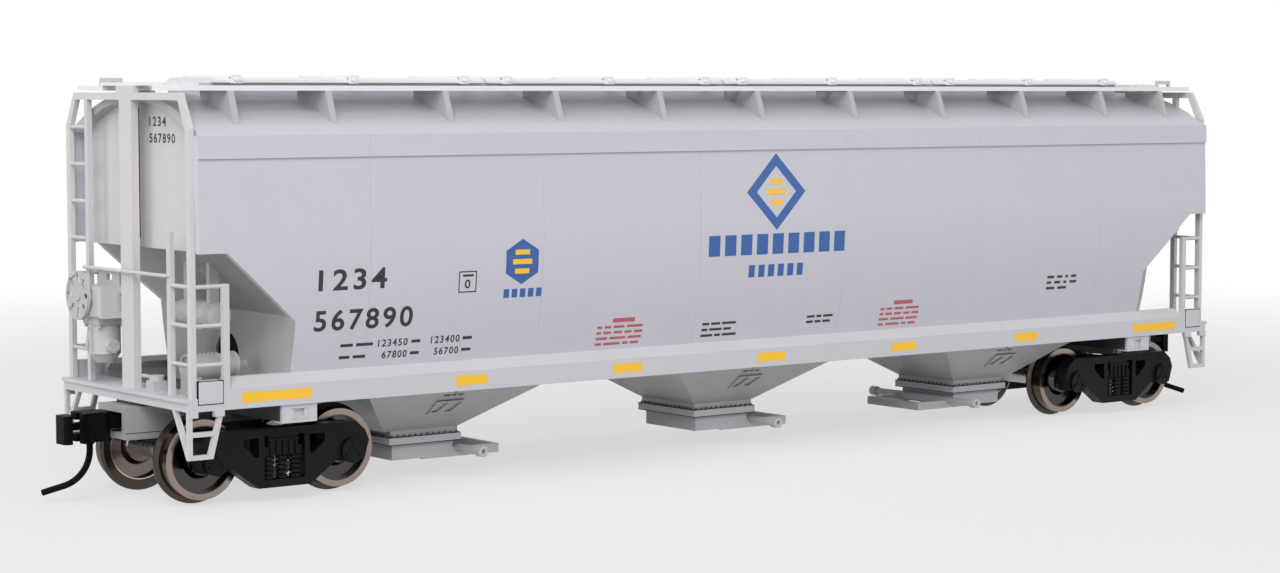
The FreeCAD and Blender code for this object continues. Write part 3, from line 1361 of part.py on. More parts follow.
def brake_wheel():
    """Dished hand brake wheel with a ring of oval holes and its hub."""
    centre = vector(-BRAKE_WHEEL_X, BRAKE_WHEEL_Y, BRAKE_WHEEL_Z)
    face = disc(centre, ALONG, BRAKE_WHEEL_DIAMETER, BRAKE_WHEEL_THICKNESS)
    dish = disc(centre, ALONG, BRAKE_WHEEL_DIAMETER - 2 * BRAKE_WHEEL_RIM, BRAKE_WHEEL_DISH)
    hub = disc(centre, ALONG, BRAKE_WHEEL_HUB, BRAKE_WHEEL_HUB_DEPTH)
    wheel_disc = joined([face.cut(dish), hub])
    radius = BRAKE_WHEEL_HOLE_RADIUS
    inner = BRAKE_WHEEL_HOLE_CIRCLE - radius
    outer = BRAKE_WHEEL_HOLE_CIRCLE + radius
    length = BRAKE_WHEEL_THICKNESS
    ends = [disc(centre + UP * place, ALONG, 2 * radius, length) for place in (inner, outer)]
    y = BRAKE_WHEEL_Y
    z = BRAKE_WHEEL_Z
    x = -BRAKE_WHEEL_X
    middle = block(x, x + length, y - radius, y + radius, z + inner, z + outer)
    hole = joined(ends + [middle])
    turn = 360 / BRAKE_WHEEL_HOLES
    holes = [hole.rotated(centre, ALONG, i * turn) for i in range(BRAKE_WHEEL_HOLES)]
    return cut(wheel_disc, holes)


def brake_gearbox():
    """Hand brake housing on its bracket and two arms to the centre post."""
    back = -END_FRAME_FACE
    front = -BRAKE_WHEEL_X + BRAKE_WHEEL_HUB_DEPTH
    y0 = CENTRE_POST_HALF_WIDTH + GEARBOX_START
    y1 = y0 + GEARBOX_WIDTH
    housing = block(front, back, y0, y1, GEARBOX_BOTTOM, GEARBOX_TOP)
    edges = [e for e in housing.Edges if e.BoundBox.XMax < back - TOLERANCE]
    housing = housing.makeFillet(GEARBOX_ROUND, edges)
    bracket_back = back + BRACKET_THICKNESS
    plate = block(back, bracket_back, y0, y1, GEARBOX_BOTTOM, HANDRAIL_HEIGHT)
    half = BRACKET_WINDOW / 2
    middle_y = (y0 + y1) / 2
    middle_z = (GEARBOX_TOP + HANDRAIL_HEIGHT) / 2
    window = block(back, bracket_back, middle_y - half, middle_y + half, middle_z - half / 2,
                   middle_z + half / 2)
    pieces = [housing, plate.cut(window)]
    for low in (GEARBOX_BOTTOM, GEARBOX_TOP - ARM_HEIGHT):
        pieces.append(block(back, bracket_back, CENTRE_POST_HALF_WIDTH, y0, low, low + ARM_HEIGHT))
    return joined(pieces)


def control_valve():
    """Air brake control valve that hangs from the gearbox, with a rib and a side boss."""
    x = -END_FRAME_FACE - VALVE_OVERHANG
    y = VALVE_Y
    half = VALVE_FLANGE_HALF
    wide = VALVE_BODY_DIAMETER / 2
    under = GEARBOX_BOTTOM - VALVE_FLANGE_THICKNESS
    low = under - VALVE_BODY_DEPTH
    flange = block(x - wide, x + wide, y - half, y + half, under, GEARBOX_BOTTOM)
    body = disc(vector(x, y, low), UP, VALVE_BODY_DIAMETER, VALVE_BODY_DEPTH)
    tip = Part.makeCone(VALVE_TIP_DIAMETER / 2, wide, VALVE_TIP_DEPTH,
                        vector(x, y, low - VALVE_TIP_DEPTH), UP)
    reach = wide + VALVE_RIB_PROUD
    rib = block(x - reach, x, y - VALVE_RIB_WIDTH, y, low, under)
    boss = disc(vector(x, y - VALVE_BOSS_REACH, low + wide / 2), ACROSS, VALVE_BOSS_DIAMETER,
                VALVE_BOSS_REACH)
    return joined([flange, body, tip, rib, boss])


def air_reservoir():
    """Air tank across the B end under the slope sheet, on two straps."""
    x = RESERVOIR_SETBACK - END_FRAME_FACE
    near = -RESERVOIR_START - RESERVOIR_LENGTH
    far = -RESERVOIR_START
    tank = disc(vector(x, near, RESERVOIR_Z), ACROSS, RESERVOIR_DIAMETER, RESERVOIR_LENGTH)
    rims = [e for e in tank.Edges if e.Curve.TypeId == "Part::GeomCircle"]
    tank = tank.makeFillet(RESERVOIR_DIAMETER / 4, rims)
    slope = prism_along_y([(-px, z) for px, z in slope_outline()], -FAR, FAR)
    half = STRAP_WIDTH / 2
    pieces = [tank]
    for y in (near + STRAP_INSET, far - STRAP_INSET):
        strap = block(x - STRAP_WIDTH, x + STRAP_WIDTH, y - half, y + half, RESERVOIR_Z,
                      PANEL_CORNER_HEIGHT)
        pieces.append(lowest_solid(strap.cut(slope)))
    return joined(pieces)


def lowest_solid(shape):
    """The solid of a shape that reaches lowest."""
    return min(shape.Solids, key=lambda solid: solid.BoundBox.ZMin)


def brake_cylinder():
    """Brake cylinder along the car on the -Y side of the B end, on a foot, with a rod stub."""
    y = -CYLINDER_Y
    z = DECK_TOP + CYLINDER_RISE
    front = CYLINDER_SETBACK - END_FRAME_FACE
    back = front + CYLINDER_LENGTH
    barrel = disc(vector(front, y, z), ALONG, CYLINDER_DIAMETER, CYLINDER_LENGTH)
    rod = disc(vector(back, y, z), ALONG, CYLINDER_DIAMETER / 2, CYLINDER_ROD_LENGTH)
    half = CYLINDER_FOOT_HALF
    foot = block(front - half, front + half, y - half, y + half, DECK_TOP, z)
    return joined([barrel, rod, foot])


def brake_lever():
    """Bell crank on the deck with a rod to the centre post."""
    x = LEVER_SETBACK - END_FRAME_FACE
    y = -LEVER_Y
    half = LEVER_HALF
    low = DECK_TOP + LEVER_RISE
    post = block(x - half, x + half, y - half, y + half, DECK_TOP, low)
    cap = disc(vector(x, y, low), UP, 2 * half, LEVER_CAP)
    rod_length = LEVER_Y - CENTRE_POST_HALF_WIDTH
    rod = disc(vector(x, y, low + LEVER_CAP / 2), ACROSS, LEVER_ROD_DIAMETER, rod_length)
    return joined([post, cap, rod])


def wheelset_places():
    """X places of the four axles from the B end."""
    return [truck + axle_x for truck in (-TRUCK_X, TRUCK_X) for axle_x in (-AXLE_X, AXLE_X)]


def main():
    os.makedirs("parts", exist_ok=True)
    panel = side_panel()
    save("side_panel_far", [panel])
    save("side_panel_near", [across(panel)])
    save("end_sheets", both_ends(end_sheet()))
    save("slope_sheets", both_ends(slope_sheet()))
    save("bulkheads", both_ends(bulkhead()))
    save("roof", [roof()])
    save("hatch_covers", [hatch_cover(start) for start in hatch_starts()])
    save("hatch_battens", hatch_battens())
    braces = [roof_brace(x) for x in brace_places()]
    save("roof_braces", braces + [across(b) for b in braces])
    board = running_board()
    save("running_board_far", [board])
    save("running_board_near", [across(board)])
    save("roof_platforms", both_ends(roof_platform()))
    save("handrails", both_ends(roof_grab()) + both_ends(end_handrail()))
    save("end_posts", four_corners(end_post()))
    save("end_beams", [s for beam in both_ends(end_beam()) for s in beam.Solids])
    save("centre_posts", both_ends(centre_post()))
    save("tall_ladders", both_ends(tall_ladder()))
    save("low_ladders", both_ends(low_ladder()))
    save("side_ladders", four_corners(side_ladder()))
    save("corner_steps", four_corners(corner_step()))
    sill = side_sill()
    save("side_sill_far", [sill])
    save("side_sill_near", [across(sill)])
    save("end_sill_b", [end_sill()])
    save("end_sill_a", [turned(end_sill())])
    save("underframe", [underframe()])
    save("jacking_pads", four_corners(jacking_pad()))
    save("ballast_weight", [ballast_weight()])
    for number, bay in enumerate(BAYS, 1):
        save("hopper_bay_" + str(number), [hopper_bay(bay)])
        save("outlet_gate_" + str(number), [outlet_gate(bay)])
    save("gate_shafts", [gate_shaft(bay) for bay in BAYS])
    save("draft_boxes", both_ends(draft_box()))
    save("draft_lids", both_ends(draft_lid()))
    save("lid_screws", both_ends(lid_screw()))
    save("truck_screws", [truck_screw(x) for x in (-TRUCK_X, TRUCK_X)])
    save("brake_wheel", [brake_wheel()])
    save("brake_gearbox", [brake_gearbox()])
    save("control_valve", [control_valve()])
    save("air_reservoir", [air_reservoir()])
    save("brake_cylinder", [brake_cylinder()])
    save("brake_lever", [brake_lever()])
    save("truck_frame_b", [truck_frame(-TRUCK_X)])
    save("truck_frame_a", [truck_frame(TRUCK_X)])
    for number, x in enumerate(wheelset_places(), 1):
        save("axle_" + str(number), [axle(x)])
        save("wheels_" + str(number), [wheel(x), across(wheel(x))])
    for end, place in (("b", lambda shape: shape), ("a", turned)):
        save("coupler_" + end, [place(coupler())])
        save("knuckle_" + end, [place(knuckle())])
        save("trip_pin_" + end, [place(trip_pin())])


main()
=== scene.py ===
"""Dresses the model covered hopper car: paint, plain markings, small fittings and the studio."""
import json
import math

import bpy
from bpy.props import FloatProperty, FloatVectorProperty, PointerProperty
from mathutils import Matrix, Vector

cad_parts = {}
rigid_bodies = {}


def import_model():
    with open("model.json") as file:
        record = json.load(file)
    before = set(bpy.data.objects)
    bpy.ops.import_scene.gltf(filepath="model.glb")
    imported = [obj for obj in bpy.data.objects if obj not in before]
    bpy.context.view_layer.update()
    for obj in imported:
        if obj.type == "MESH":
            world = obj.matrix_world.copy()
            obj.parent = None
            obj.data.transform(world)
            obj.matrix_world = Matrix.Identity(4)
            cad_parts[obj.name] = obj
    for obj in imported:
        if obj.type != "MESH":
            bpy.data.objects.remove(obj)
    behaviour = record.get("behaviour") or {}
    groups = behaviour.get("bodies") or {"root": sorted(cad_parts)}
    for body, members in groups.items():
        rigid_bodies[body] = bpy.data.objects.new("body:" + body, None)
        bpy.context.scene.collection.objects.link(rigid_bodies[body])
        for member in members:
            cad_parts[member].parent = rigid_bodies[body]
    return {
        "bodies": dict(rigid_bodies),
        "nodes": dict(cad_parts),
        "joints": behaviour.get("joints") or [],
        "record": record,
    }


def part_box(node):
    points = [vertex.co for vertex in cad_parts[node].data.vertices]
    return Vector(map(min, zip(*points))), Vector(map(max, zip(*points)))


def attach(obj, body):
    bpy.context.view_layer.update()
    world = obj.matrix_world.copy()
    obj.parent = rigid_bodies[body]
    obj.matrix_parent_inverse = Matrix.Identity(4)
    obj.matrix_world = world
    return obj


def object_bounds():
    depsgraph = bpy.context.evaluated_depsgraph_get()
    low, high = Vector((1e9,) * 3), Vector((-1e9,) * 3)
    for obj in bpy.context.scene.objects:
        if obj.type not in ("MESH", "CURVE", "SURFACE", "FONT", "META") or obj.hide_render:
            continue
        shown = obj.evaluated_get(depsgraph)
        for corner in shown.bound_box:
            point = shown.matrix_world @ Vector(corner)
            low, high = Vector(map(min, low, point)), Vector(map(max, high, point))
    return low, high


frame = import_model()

bl_info = {
    "name": "Covered Hopper Dresser",
    "version": (1, 0, 0),
    "blender": (4, 5, 0),
    "location": "View3D > Sidebar > Hopper",
    "description": "Paints and details a model covered hopper car around its fixed CAD frame",
    "category": "Object",
}

MM = 0.001
CAD_BOX = [list(corner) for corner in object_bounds()]
NODES = frame["nodes"]

# Every CAD node by the paint it wears.
PANEL_NODES = ("side_panel_near", "side_panel_far")
END_NODES = ("end_sheets", "end_posts", "end_beams", "centre_posts")
RIB_NODES = ("side_sill_near", "side_sill_far", "end_sill_a", "end_sill_b", "jacking_pads")
WALKWAY_NODES = ("running_board_near", "running_board_far", "roof_platforms", "hatch_covers",
                 "hatch_battens")
LADDER_NODES = ("tall_ladders", "low_ladders", "side_ladders", "corner_steps", "handrails")
BAY_NODES = ("hopper_bay_1", "hopper_bay_2", "hopper_bay_3")
GATE_NODES = ("outlet_gate_1", "outlet_gate_2", "outlet_gate_3", "gate_shafts")
GEAR_NODES = ("brake_wheel", "brake_gearbox", "control_valve", "air_reservoir", "brake_cylinder",
              "brake_lever")
DRAFT_NODES = ("draft_boxes", "draft_lids")
TRUCK_NODES = ("truck_frame_a", "truck_frame_b")
COUPLER_NODES = ("coupler_a", "coupler_b", "knuckle_a", "knuckle_b", "trip_pin_a", "trip_pin_b")
SCREW_NODES = ("truck_screws", "lid_screws")

BAY_NUMBERS = (1, 2, 3)
END_WHEELS = {"b": (1, 2), "a": (3, 4)}


# ---- properties

def colour_property(name, description, default):
    """A paint or metal colour in linear light."""
    return FloatVectorProperty(name=name, description=description, default=default, size=3,
                               min=0.0, max=1.0, subtype="COLOR")


def length_property(name, description, default):
    """A length in metres."""
    return FloatProperty(name=name, description=description, default=default, min=0.0,
                         unit="LENGTH", subtype="DISTANCE", precision=5)


class HopperColours(bpy.types.PropertyGroup):
    """Colours of the paint, plastic, metal and ink."""

    body: colour_property("Body", "Grey of the sides and roof", (0.61, 0.60, 0.66))
    end: colour_property("Ends", "Warm grey of the ends and their posts", (0.655, 0.635, 0.64))
    rib: colour_property("Ribs", "Grey of the sills, gates and pads", (0.61, 0.60, 0.64))
    # Painted shade: the braces wear a darker copy of the body grey for the shade under the running
    # boards.
    shaded_brace: colour_property("Braces", "Grey of the roof braces", (0.47, 0.465, 0.475))
    walkway: colour_property("Walkway", "Pale grey of walkways and hatches", (0.86, 0.855, 0.875))
    ladder: colour_property("Ladders", "Grey of ladders, steps and rails", (0.62, 0.61, 0.62))
    # Painted shade: the bays wear a darker copy of the body grey for the shade under the car, and
    # the sheets turn towards it low down.
    bay: colour_property("Bays", "Grey of the hopper bays", (0.49, 0.49, 0.49))
    # Painted shade: a dark grey laid on the sloping sheets, bulkheads and roof where shade falls on
    # them.
    slope: colour_property("Slope sheets", "Grey of the sheets in the shade", (0.30, 0.295, 0.30))
    gear: colour_property("Brake gear", "Grey of the brake gear", (0.52, 0.515, 0.52))
    # Painted shade: the draft boxes wear a darker copy of the grey for the shade on their sides.
    draft: colour_property("Draft boxes", "Grey of the draft boxes", (0.36, 0.35, 0.35))
    # Painted shade: the underframe is near black for the deep shade under the body.
    underframe: colour_property("Underframe", "Dark grey of the underframe", (0.05, 0.05, 0.052))
    plastic: colour_property("Truck plastic", "Black of the trucks", (0.004, 0.004, 0.0045))
    coupler: colour_property("Coupler metal", "Black of the couplers", (0.004, 0.004, 0.0045))
    wheel: colour_property("Wheel face", "Dark nickel of the wheel plates", (0.085, 0.08, 0.077))
    wheel_back: colour_property("Wheel back", "Brown nickel of wheel backs", (0.24, 0.20, 0.18))
    rim: colour_property("Wheel rim", "Pink bare nickel of the rims", (0.36, 0.285, 0.25))
    tread: colour_property("Wheel tread", "Dark brown of the wheel treads", (0.085, 0.068, 0.056))
    # Painted highlight: the rim lips' polished nickel is made pale, so that they show a pale ring
    # like a reflection.
    bright: colour_property("Rim lip", "Polished nickel of the rim lips", (0.85, 0.82, 0.80))
    steel: colour_property("Steel", "Turned steel of the axles", (0.45, 0.44, 0.43))
    stripe: colour_property("Stripe", "Yellow of the side sill stripes", (1.0, 0.58, 0.03))
    ink: colour_property("Ink", "Black of the plain numbers", (0.02, 0.02, 0.024))
    blue: colour_property("Blue", "Blue of the plain emblems", (0.035, 0.12, 0.38))
    red: colour_property("Red", "Faded red of the notice lines", (0.50, 0.11, 0.13))
    # This black is the dark joints' own colour, and also painted shade in the bulkhead holes and
    # behind the centre posts.
    joint: colour_property("Joint", "Black of joints and openings", (0.012, 0.012, 0.013))
    # Painted shade: the gate bolts wear dark grey for the shade round them on the flanges.
    bolt_shade: colour_property("Bolts", "Dark grey of the gate bolts", (0.12, 0.12, 0.13))
    floor: colour_property("Floor", "Pale studio floor", (0.62, 0.62, 0.62))


class HopperSizes(bpy.types.PropertyGroup):
    """Sizes of the details that the paint shop adds."""

    ink_lift: length_property("Ink lift", "How far printed marks stand off the paint", 0.02 * MM)
    ink_step: length_property("Ink step", "Height of the slices that follow the curve", 0.5 * MM)
    seam_pitch: length_property("Seam pitch", "Distance between the sheets' seams", 27.7 * MM)
    seam_width: length_property("Seam width", "Width of the seams between sheets", 0.16 * MM)
    flange: length_property("Flange", "Length of a gate's flange along the car", 11.8 * MM)
    hole: length_property("Hole", "Width of the hole in a bulkhead", 6.2 * MM)
    hole_offset: length_property("Hole offset", "From the middle of the car to the hole", 1.0 * MM)
    hole_height: length_property("Hole height", "Height of the middle of the hole", 18.35 * MM)
    bolt: length_property("Bolt", "Width of a bolt head on a gate flange", 0.42 * MM)
    rim_width: length_property("Rim width", "From a wheel flange's edge to the rim lip", 1.5 * MM)
    groove: length_property("Groove", "Width of the dark joint lines", 0.1 * MM)
    grain: length_property("Grain", "Size of the fine grain in the moulded plastic", 0.12 * MM)


def colours():
    """The colours now set in the sidebar."""
    return bpy.context.scene.hopper_colours


def sizes():
    """The detail sizes now set in the sidebar."""
    return bpy.context.scene.hopper_sizes


# ---- materials

# Sockets of a Mix node in its colour mode.
MIX_FACTOR, MIX_BELOW, MIX_ABOVE, MIX_RESULT = 0, 6, 7, 2
# Share of its brightness that a mottled paint keeps where it is darkest.
MOTTLE_TONE = 0.72


class Paint:
    """A procedural material, built up layer by layer on one Principled shader."""

    def __init__(self, name, colour, roughness, metallic=0.0, coat=0.0):
        self.material = bpy.data.materials.new(name)
        self.material.use_nodes = True
        self.nodes = self.material.node_tree.nodes
        self.links = self.material.node_tree.links
        self.shader = self.nodes["Principled BSDF"]
        self.colour = tuple(colour) + (1.0,)
        self.shader.inputs["Base Color"].default_value = self.colour
        self.shader.inputs["Roughness"].default_value = roughness
        self.shader.inputs["Metallic"].default_value = metallic
        self.shader.inputs["Coat Weight"].default_value = coat
        self.place = self.nodes.new("ShaderNodeTexCoord").outputs["Object"]

    def node(self, kind, sources=(), **settings):
        """A new node with its settings, its first inputs joined to sources or set to numbers."""
        made = self.nodes.new(kind)
        for name, value in settings.items():
            setattr(made, name, value)
        for socket, source in zip(made.inputs, sources):
            if source is None:
                continue
            if isinstance(source, bpy.types.NodeSocket):
                self.links.new(source, socket)
            else:
                socket.default_value = source
        return made

    def math(self, operation, *sources):
        """The result of one Math node."""
        return self.node("ShaderNodeMath", sources, operation=operation).outputs[0]

    def parts(self, place):
        """The x, y and z of a place."""
        return list(self.node("ShaderNodeSeparateXYZ", (place,)).outputs)

    def noise(self, size, detail=4.0, stretch=(1.0, 1.0, 1.0)):
        """Noise with features of that size in metres, stretched along the axes."""
        scale = tuple(1.0 / (size * s) for s in stretch)
        mapping = self.node("ShaderNodeMapping", (self.place,))
        mapping.inputs["Scale"].default_value = scale
        noise = self.node("ShaderNodeTexNoise", (mapping.outputs[0],))
        noise.inputs["Scale"].default_value = 1.0
        noise.inputs["Detail"].default_value = detail
        return noise.outputs["Fac"]

    def spread(self, source, low, high, to_low, to_high, smooth=False):
        """A value mapped from one range to another."""
        kind = "SMOOTHSTEP" if smooth else "LINEAR"
        made = self.node("ShaderNodeMapRange", (source, low, high, to_low, to_high),
                         interpolation_type=kind, clamp=True)
        return made.outputs["Result"]

    def tint(self, mask, colour):
        """Lays another colour where the mask is 1."""
        mix = self.node("ShaderNodeMix", data_type="RGBA")
        base = self.shader.inputs["Base Color"]
        if base.links:
            self.links.new(base.links[0].from_socket, mix.inputs[MIX_BELOW])
        else:
            mix.inputs[MIX_BELOW].default_value = self.colour
        self.links.new(mask, mix.inputs[MIX_FACTOR])
        mix.inputs[MIX_ABOVE].default_value = tuple(colour) + (1.0,)
        self.links.new(mix.outputs[MIX_RESULT], base)
        return self

    def mottle(self, size, amount, stretch=(1.0, 1.0, 1.0)):
        """Slow shifts of tone, as in sprayed paint or a moulding."""
        mask = self.spread(self.noise(size, 3.0, stretch), 0.3, 0.7, 0.0, amount)
        return self.tint(mask, [MOTTLE_TONE * c for c in self.colour[:3]])

    def sheen(self, size, low, high):
        """Roughness that wanders between low and high."""
        value = self.spread(self.noise(size, 5.0), 0.3, 0.7, low, high)
        self.links.new(value, self.shader.inputs["Roughness"])
        return self

    def emboss(self, height, depth):
        """Bumps the surface by height, 0 to 1, times depth in metres."""
        bump = self.node("ShaderNodeBump")
        bump.inputs["Strength"].default_value = 1.0
        bump.inputs["Distance"].default_value = depth
        self.links.new(height, bump.inputs["Height"])
        normal = self.shader.inputs["Normal"]
        if normal.links:
            self.links.new(normal.links[0].from_socket, bump.inputs["Normal"])
        self.links.new(bump.outputs[0], normal)
        return self

    def grain(self, size, depth):
        """Fine surface texture."""
        return self.emboss(self.noise(size, 2.0), depth)

    def dull(self, level):
        """Lowers how much the surface mirrors from its usual 0.5."""
        self.shader.inputs["Specular IOR Level"].default_value = level
        return self

    def wear(self, *names):
        """Gives the finished material to CAD nodes."""
        for name in names:
            mesh = NODES[name].data
            mesh.materials.clear()
            mesh.materials.append(self.material)
        return self.material


def sprayed(name, colour, mottling=0.07):
    """Satin paint over moulded plastic."""
    paint = Paint(name, colour, 0.45, coat=0.08)
    paint.shader.inputs["Coat Roughness"].default_value = 0.35
    paint.mottle(6 * MM, mottling).sheen(1.5 * MM, 0.38, 0.52)
    return paint.grain(sizes().grain, 0.004 * MM)


def seam_mask(paint):
    """1 on the upright seams between the side sheets, 0 elsewhere."""
    pitch = sizes().seam_pitch
    start = 10.0 * pitch  # A whole number of sheets that keeps x above zero.
    along = paint.math("ADD", paint.parts(paint.place)[0], start)
    to_middle = paint.math("PINGPONG", along, pitch / 2)
    edge = pitch / 2 - sizes().seam_width / 2
    return paint.spread(to_middle, edge, pitch / 2, 0.0, 1.0, smooth=True)


class HOPPER_OT_paint_body(bpy.types.Operator):
    """Sprays the sides, roof, ends, sills, posts and ladders."""

    bl_idname = "hopper.paint_body"
    bl_label = "Paint the Body"

    def execute(self, context):
        panel = sprayed("panel_grey", colours().body)
        panel.emboss(seam_mask(panel), -0.03 * MM).wear(*PANEL_NODES)
        sprayed("end_grey", colours().end).wear(*END_NODES)
        self.roof()
        self.shaded_sheets()
        sprayed("rib_grey", colours().rib).wear(*RIB_NODES)
        sprayed("walkway_grey", colours().walkway).wear(*WALKWAY_NODES)
        sprayed("ladder_grey", colours().ladder).wear(*LADDER_NODES)
        return {"FINISHED"}

    def roof(self):
        """Sprays the roof, with painted shade up under the running boards, and its braces."""
        paint = sprayed("roof_grey_with_shade", colours().body)
        height = paint.parts(paint.place)[2]
        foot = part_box("roof")[0][2]
        # Painted shade: the paint darkens up towards the running boards, where their shade falls,
        # and stops below the coaming.
        shade = paint.spread(height, foot + 0.6 * MM, foot + 3.2 * MM, 0.0, 0.62, smooth=True)
        below_coaming = paint.spread(height, foot + 4.2 * MM, foot + 4.8 * MM, 1.0, 0.0)
        paint.tint(paint.math("MULTIPLY", shade, below_coaming), colours().slope).wear("roof")
        # Painted shade: the braces' darker grey stands for their shade.
        sprayed("brace_shaded_grey", colours().shaded_brace).wear("roof_braces")

    def shaded_sheets(self):
        """Sprays the sloping sheets and bulkheads with painted shade: dark under the end sheets and
        paler low down.
        """
        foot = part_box("slope_sheets")[0][2]
        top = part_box("end_sheets")[0][2]
        for name, node in (("slope_shaded_grey", "slope_sheets"), ("bulkhead_shaded_grey", "bulkheads")):
            paint = sprayed(name, colours().end)
            height = paint.parts(paint.place)[2]
            # Painted shade: dark below the end sheets, which shade them, then mixed paler towards
            # the foot.
            below = paint.spread(height, top - 1.2 * MM, top - 0.9 * MM, 1.0, 0.0)
            low_down = paint.spread(height, foot, top - 2 * MM, 0.75, 0.0)
            paint.tint(below, colours().slope).tint(low_down, colours().bay).wear(node)


class HOPPER_OT_paint_underside(bpy.types.Operator):
    """Sprays the bays, gates, brake gear and underframe, with painted shade in the darker bays,
    draft boxes and underframe.
    """

    bl_idname = "hopper.paint_underside"
    bl_label = "Paint the Underside"

    def execute(self, context):
        # Painted shade: the bays, draft boxes and underframe wear darker greys for the shade that
        # they stand in.
        sprayed("bay_shaded_grey", colours().bay, 0.15).wear(*BAY_NODES)
        sprayed("gate_grey", colours().rib, 0.15).wear(*GATE_NODES)
        sprayed("gear_grey", colours().gear, 0.2).wear(*GEAR_NODES)
        sprayed("draft_shaded_grey", colours().draft).wear(*DRAFT_NODES)
        sprayed("underframe_shaded_black", colours().underframe).wear("underframe")
        ballast = Paint("ballast_steel", colours().steel, 0.4, metallic=1.0)
        ballast.sheen(2 * MM, 0.3, 0.5).grain(0.3 * MM, 0.01 * MM).wear("ballast_weight")
        return {"FINISHED"}


def turned_wheel(name):
    """Nickel wheel metal: dark plate, bare rim face, polished rim lip made pale as a painted
    highlight, and darker tread and back.
    """
    low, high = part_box(name)
    middle = [(a + b) / 2 for a, b in zip(low, high)]
    wheel = Paint(name + "_metal", colours().wheel, 0.2, metallic=1.0)
    centred = wheel.node("ShaderNodeMapping", (wheel.place,))
    centred.inputs["Location"].default_value = (-middle[0], 0.0, -middle[2])
    along, aside, up = wheel.parts(centred.outputs[0])
    squares = [wheel.math("MULTIPLY", part, part) for part in (along, up)]
    out = wheel.math("SQRT", wheel.math("ADD", *squares))
    aside = wheel.math("ABSOLUTE", aside)

    face = high[1]
    lip = (high[0] - low[0]) / 2 - sizes().rim_width
    back = wheel.spread(aside, face - 1.6 * MM, face - 1.4 * MM, 1.0, 0.0)
    rim = wheel.spread(out, lip + 0.03 * MM, lip + 0.06 * MM, 0.0, 1.0)
    front = wheel.spread(aside, face - 0.08 * MM, face - 0.03 * MM, 0.0, 1.0)
    from_lip = wheel.math("ABSOLUTE", wheel.math("SUBTRACT", out, lip))
    lip_highlight_ring = wheel.spread(from_lip, 0.04 * MM, 0.07 * MM, 1.0, 0.0)
    inside = wheel.math("SUBTRACT", 1.0, front)
    wheel.tint(back, colours().wheel_back).tint(rim, colours().tread)
    wheel.tint(wheel.math("MULTIPLY", rim, front), colours().rim)
    # Painted highlight: a pale ring on the inside of the rim lip stands for its reflection.
    wheel.tint(wheel.math("MULTIPLY", lip_highlight_ring, inside), colours().bright)
    wheel.mottle(1.5 * MM, 0.15).sheen(0.8 * MM, 0.10, 0.2)
    turning_pitch = 0.09 * MM
    marks = wheel.math("SINE", wheel.math("MULTIPLY", out, 2 * math.pi / turning_pitch))
    return wheel.emboss(marks, 0.0004 * MM)


class HOPPER_OT_finish_running_gear(bpy.types.Operator):
    """Gives trucks, wheels, axles, screws and couplers their plastic and metal."""

    bl_idname = "hopper.finish_running_gear"
    bl_label = "Finish the Running Gear"

    def execute(self, context):
        plastic = Paint("truck_plastic", colours().plastic, 0.42).dull(0.16)
        plastic.sheen(0.8 * MM, 0.36, 0.6).grain(0.08 * MM, 0.006 * MM).wear(*TRUCK_NODES)
        coupler = Paint("coupler_metal", colours().coupler, 0.45).dull(0.05)
        coupler.sheen(0.6 * MM, 0.36, 0.6).grain(0.15 * MM, 0.01 * MM).wear(*COUPLER_NODES)
        screw = Paint("screw_steel", colours().plastic, 0.35, metallic=0.6)
        screw.sheen(0.5 * MM, 0.25, 0.45).grain(0.1 * MM, 0.004 * MM).wear(*SCREW_NODES)
        axle = Paint("axle_steel", colours().steel, 0.3, metallic=1.0)
        axle.sheen(0.7 * MM, 0.22, 0.4).grain(0.1 * MM, 0.003 * MM)
        for number in END_WHEELS["b"] + END_WHEELS["a"]:
            axle.wear("axle_%d" % number)
            turned_wheel("wheels_%d" % number).wear("wheels_%d" % number)
        return {"FINISHED"}


# ---- modelling

def select(*pieces):
    """Selects only these pieces and makes the last one active."""
    bpy.ops.object.select_all(action="DESELECT")
    for piece in pieces:
        piece.select_set(True)
    bpy.context.view_layer.objects.active = pieces[-1]


def settle(piece):
    """Moves a piece's place, turn and scale into its mesh."""
    select(piece)
    bpy.ops.object.transform_apply(location=True, rotation=True, scale=True)
    return piece


def joined(name, pieces):
    """One named piece made of several."""
    select(*pieces)
    if len(pieces) > 1:
        bpy.ops.object.join()
    piece = bpy.context.object
    piece.name = name
    piece.data.name = name
    return piece


def modified(piece, kind, **settings):
    """Adds a modifier to a piece and applies it."""
    select(piece)
    modifier = piece.modifiers.new("shape", kind)
    for key, value in settings.items():
        setattr(modifier, key, value)
    bpy.ops.object.modifier_apply(modifier=modifier.name)
    return piece


def duplicate(piece):
    """A copy of a piece in the same place."""
    select(piece)
    bpy.ops.object.duplicate()
    return bpy.context.object


def half_turned(piece, name):
    """A copy of a piece, turned half round the middle of the car."""
    copy = duplicate(piece)
    copy.name = name
    copy.data.name = name
    copy.rotation_euler.z = math.pi
    return settle(copy)


def fitted(piece, material, body):
    """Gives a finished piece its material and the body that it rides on."""
    piece.data.materials.clear()
    piece.data.materials.append(material)
    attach(piece, body)
    return piece


def fitted_twice(piece, copy_name, material):
    """Fits a piece to the car body, and its half turned copy at the other end or side."""
    fitted(piece, material, "car_body")
    fitted(half_turned(piece, copy_name), material, "car_body")


# ---- turned and cast shapes
# Places and sizes of these shapes are in millimetres.

# Turns that lay an upright shape along an axis.
TURNS = {"x": (0.0, math.pi / 2, 0.0), "y": (math.pi / 2, 0.0, 0.0), "z": (0.0, 0.0, 0.0)}


def metres(place):
    """A place or step given in millimetres."""
    return [value * MM for value in place]


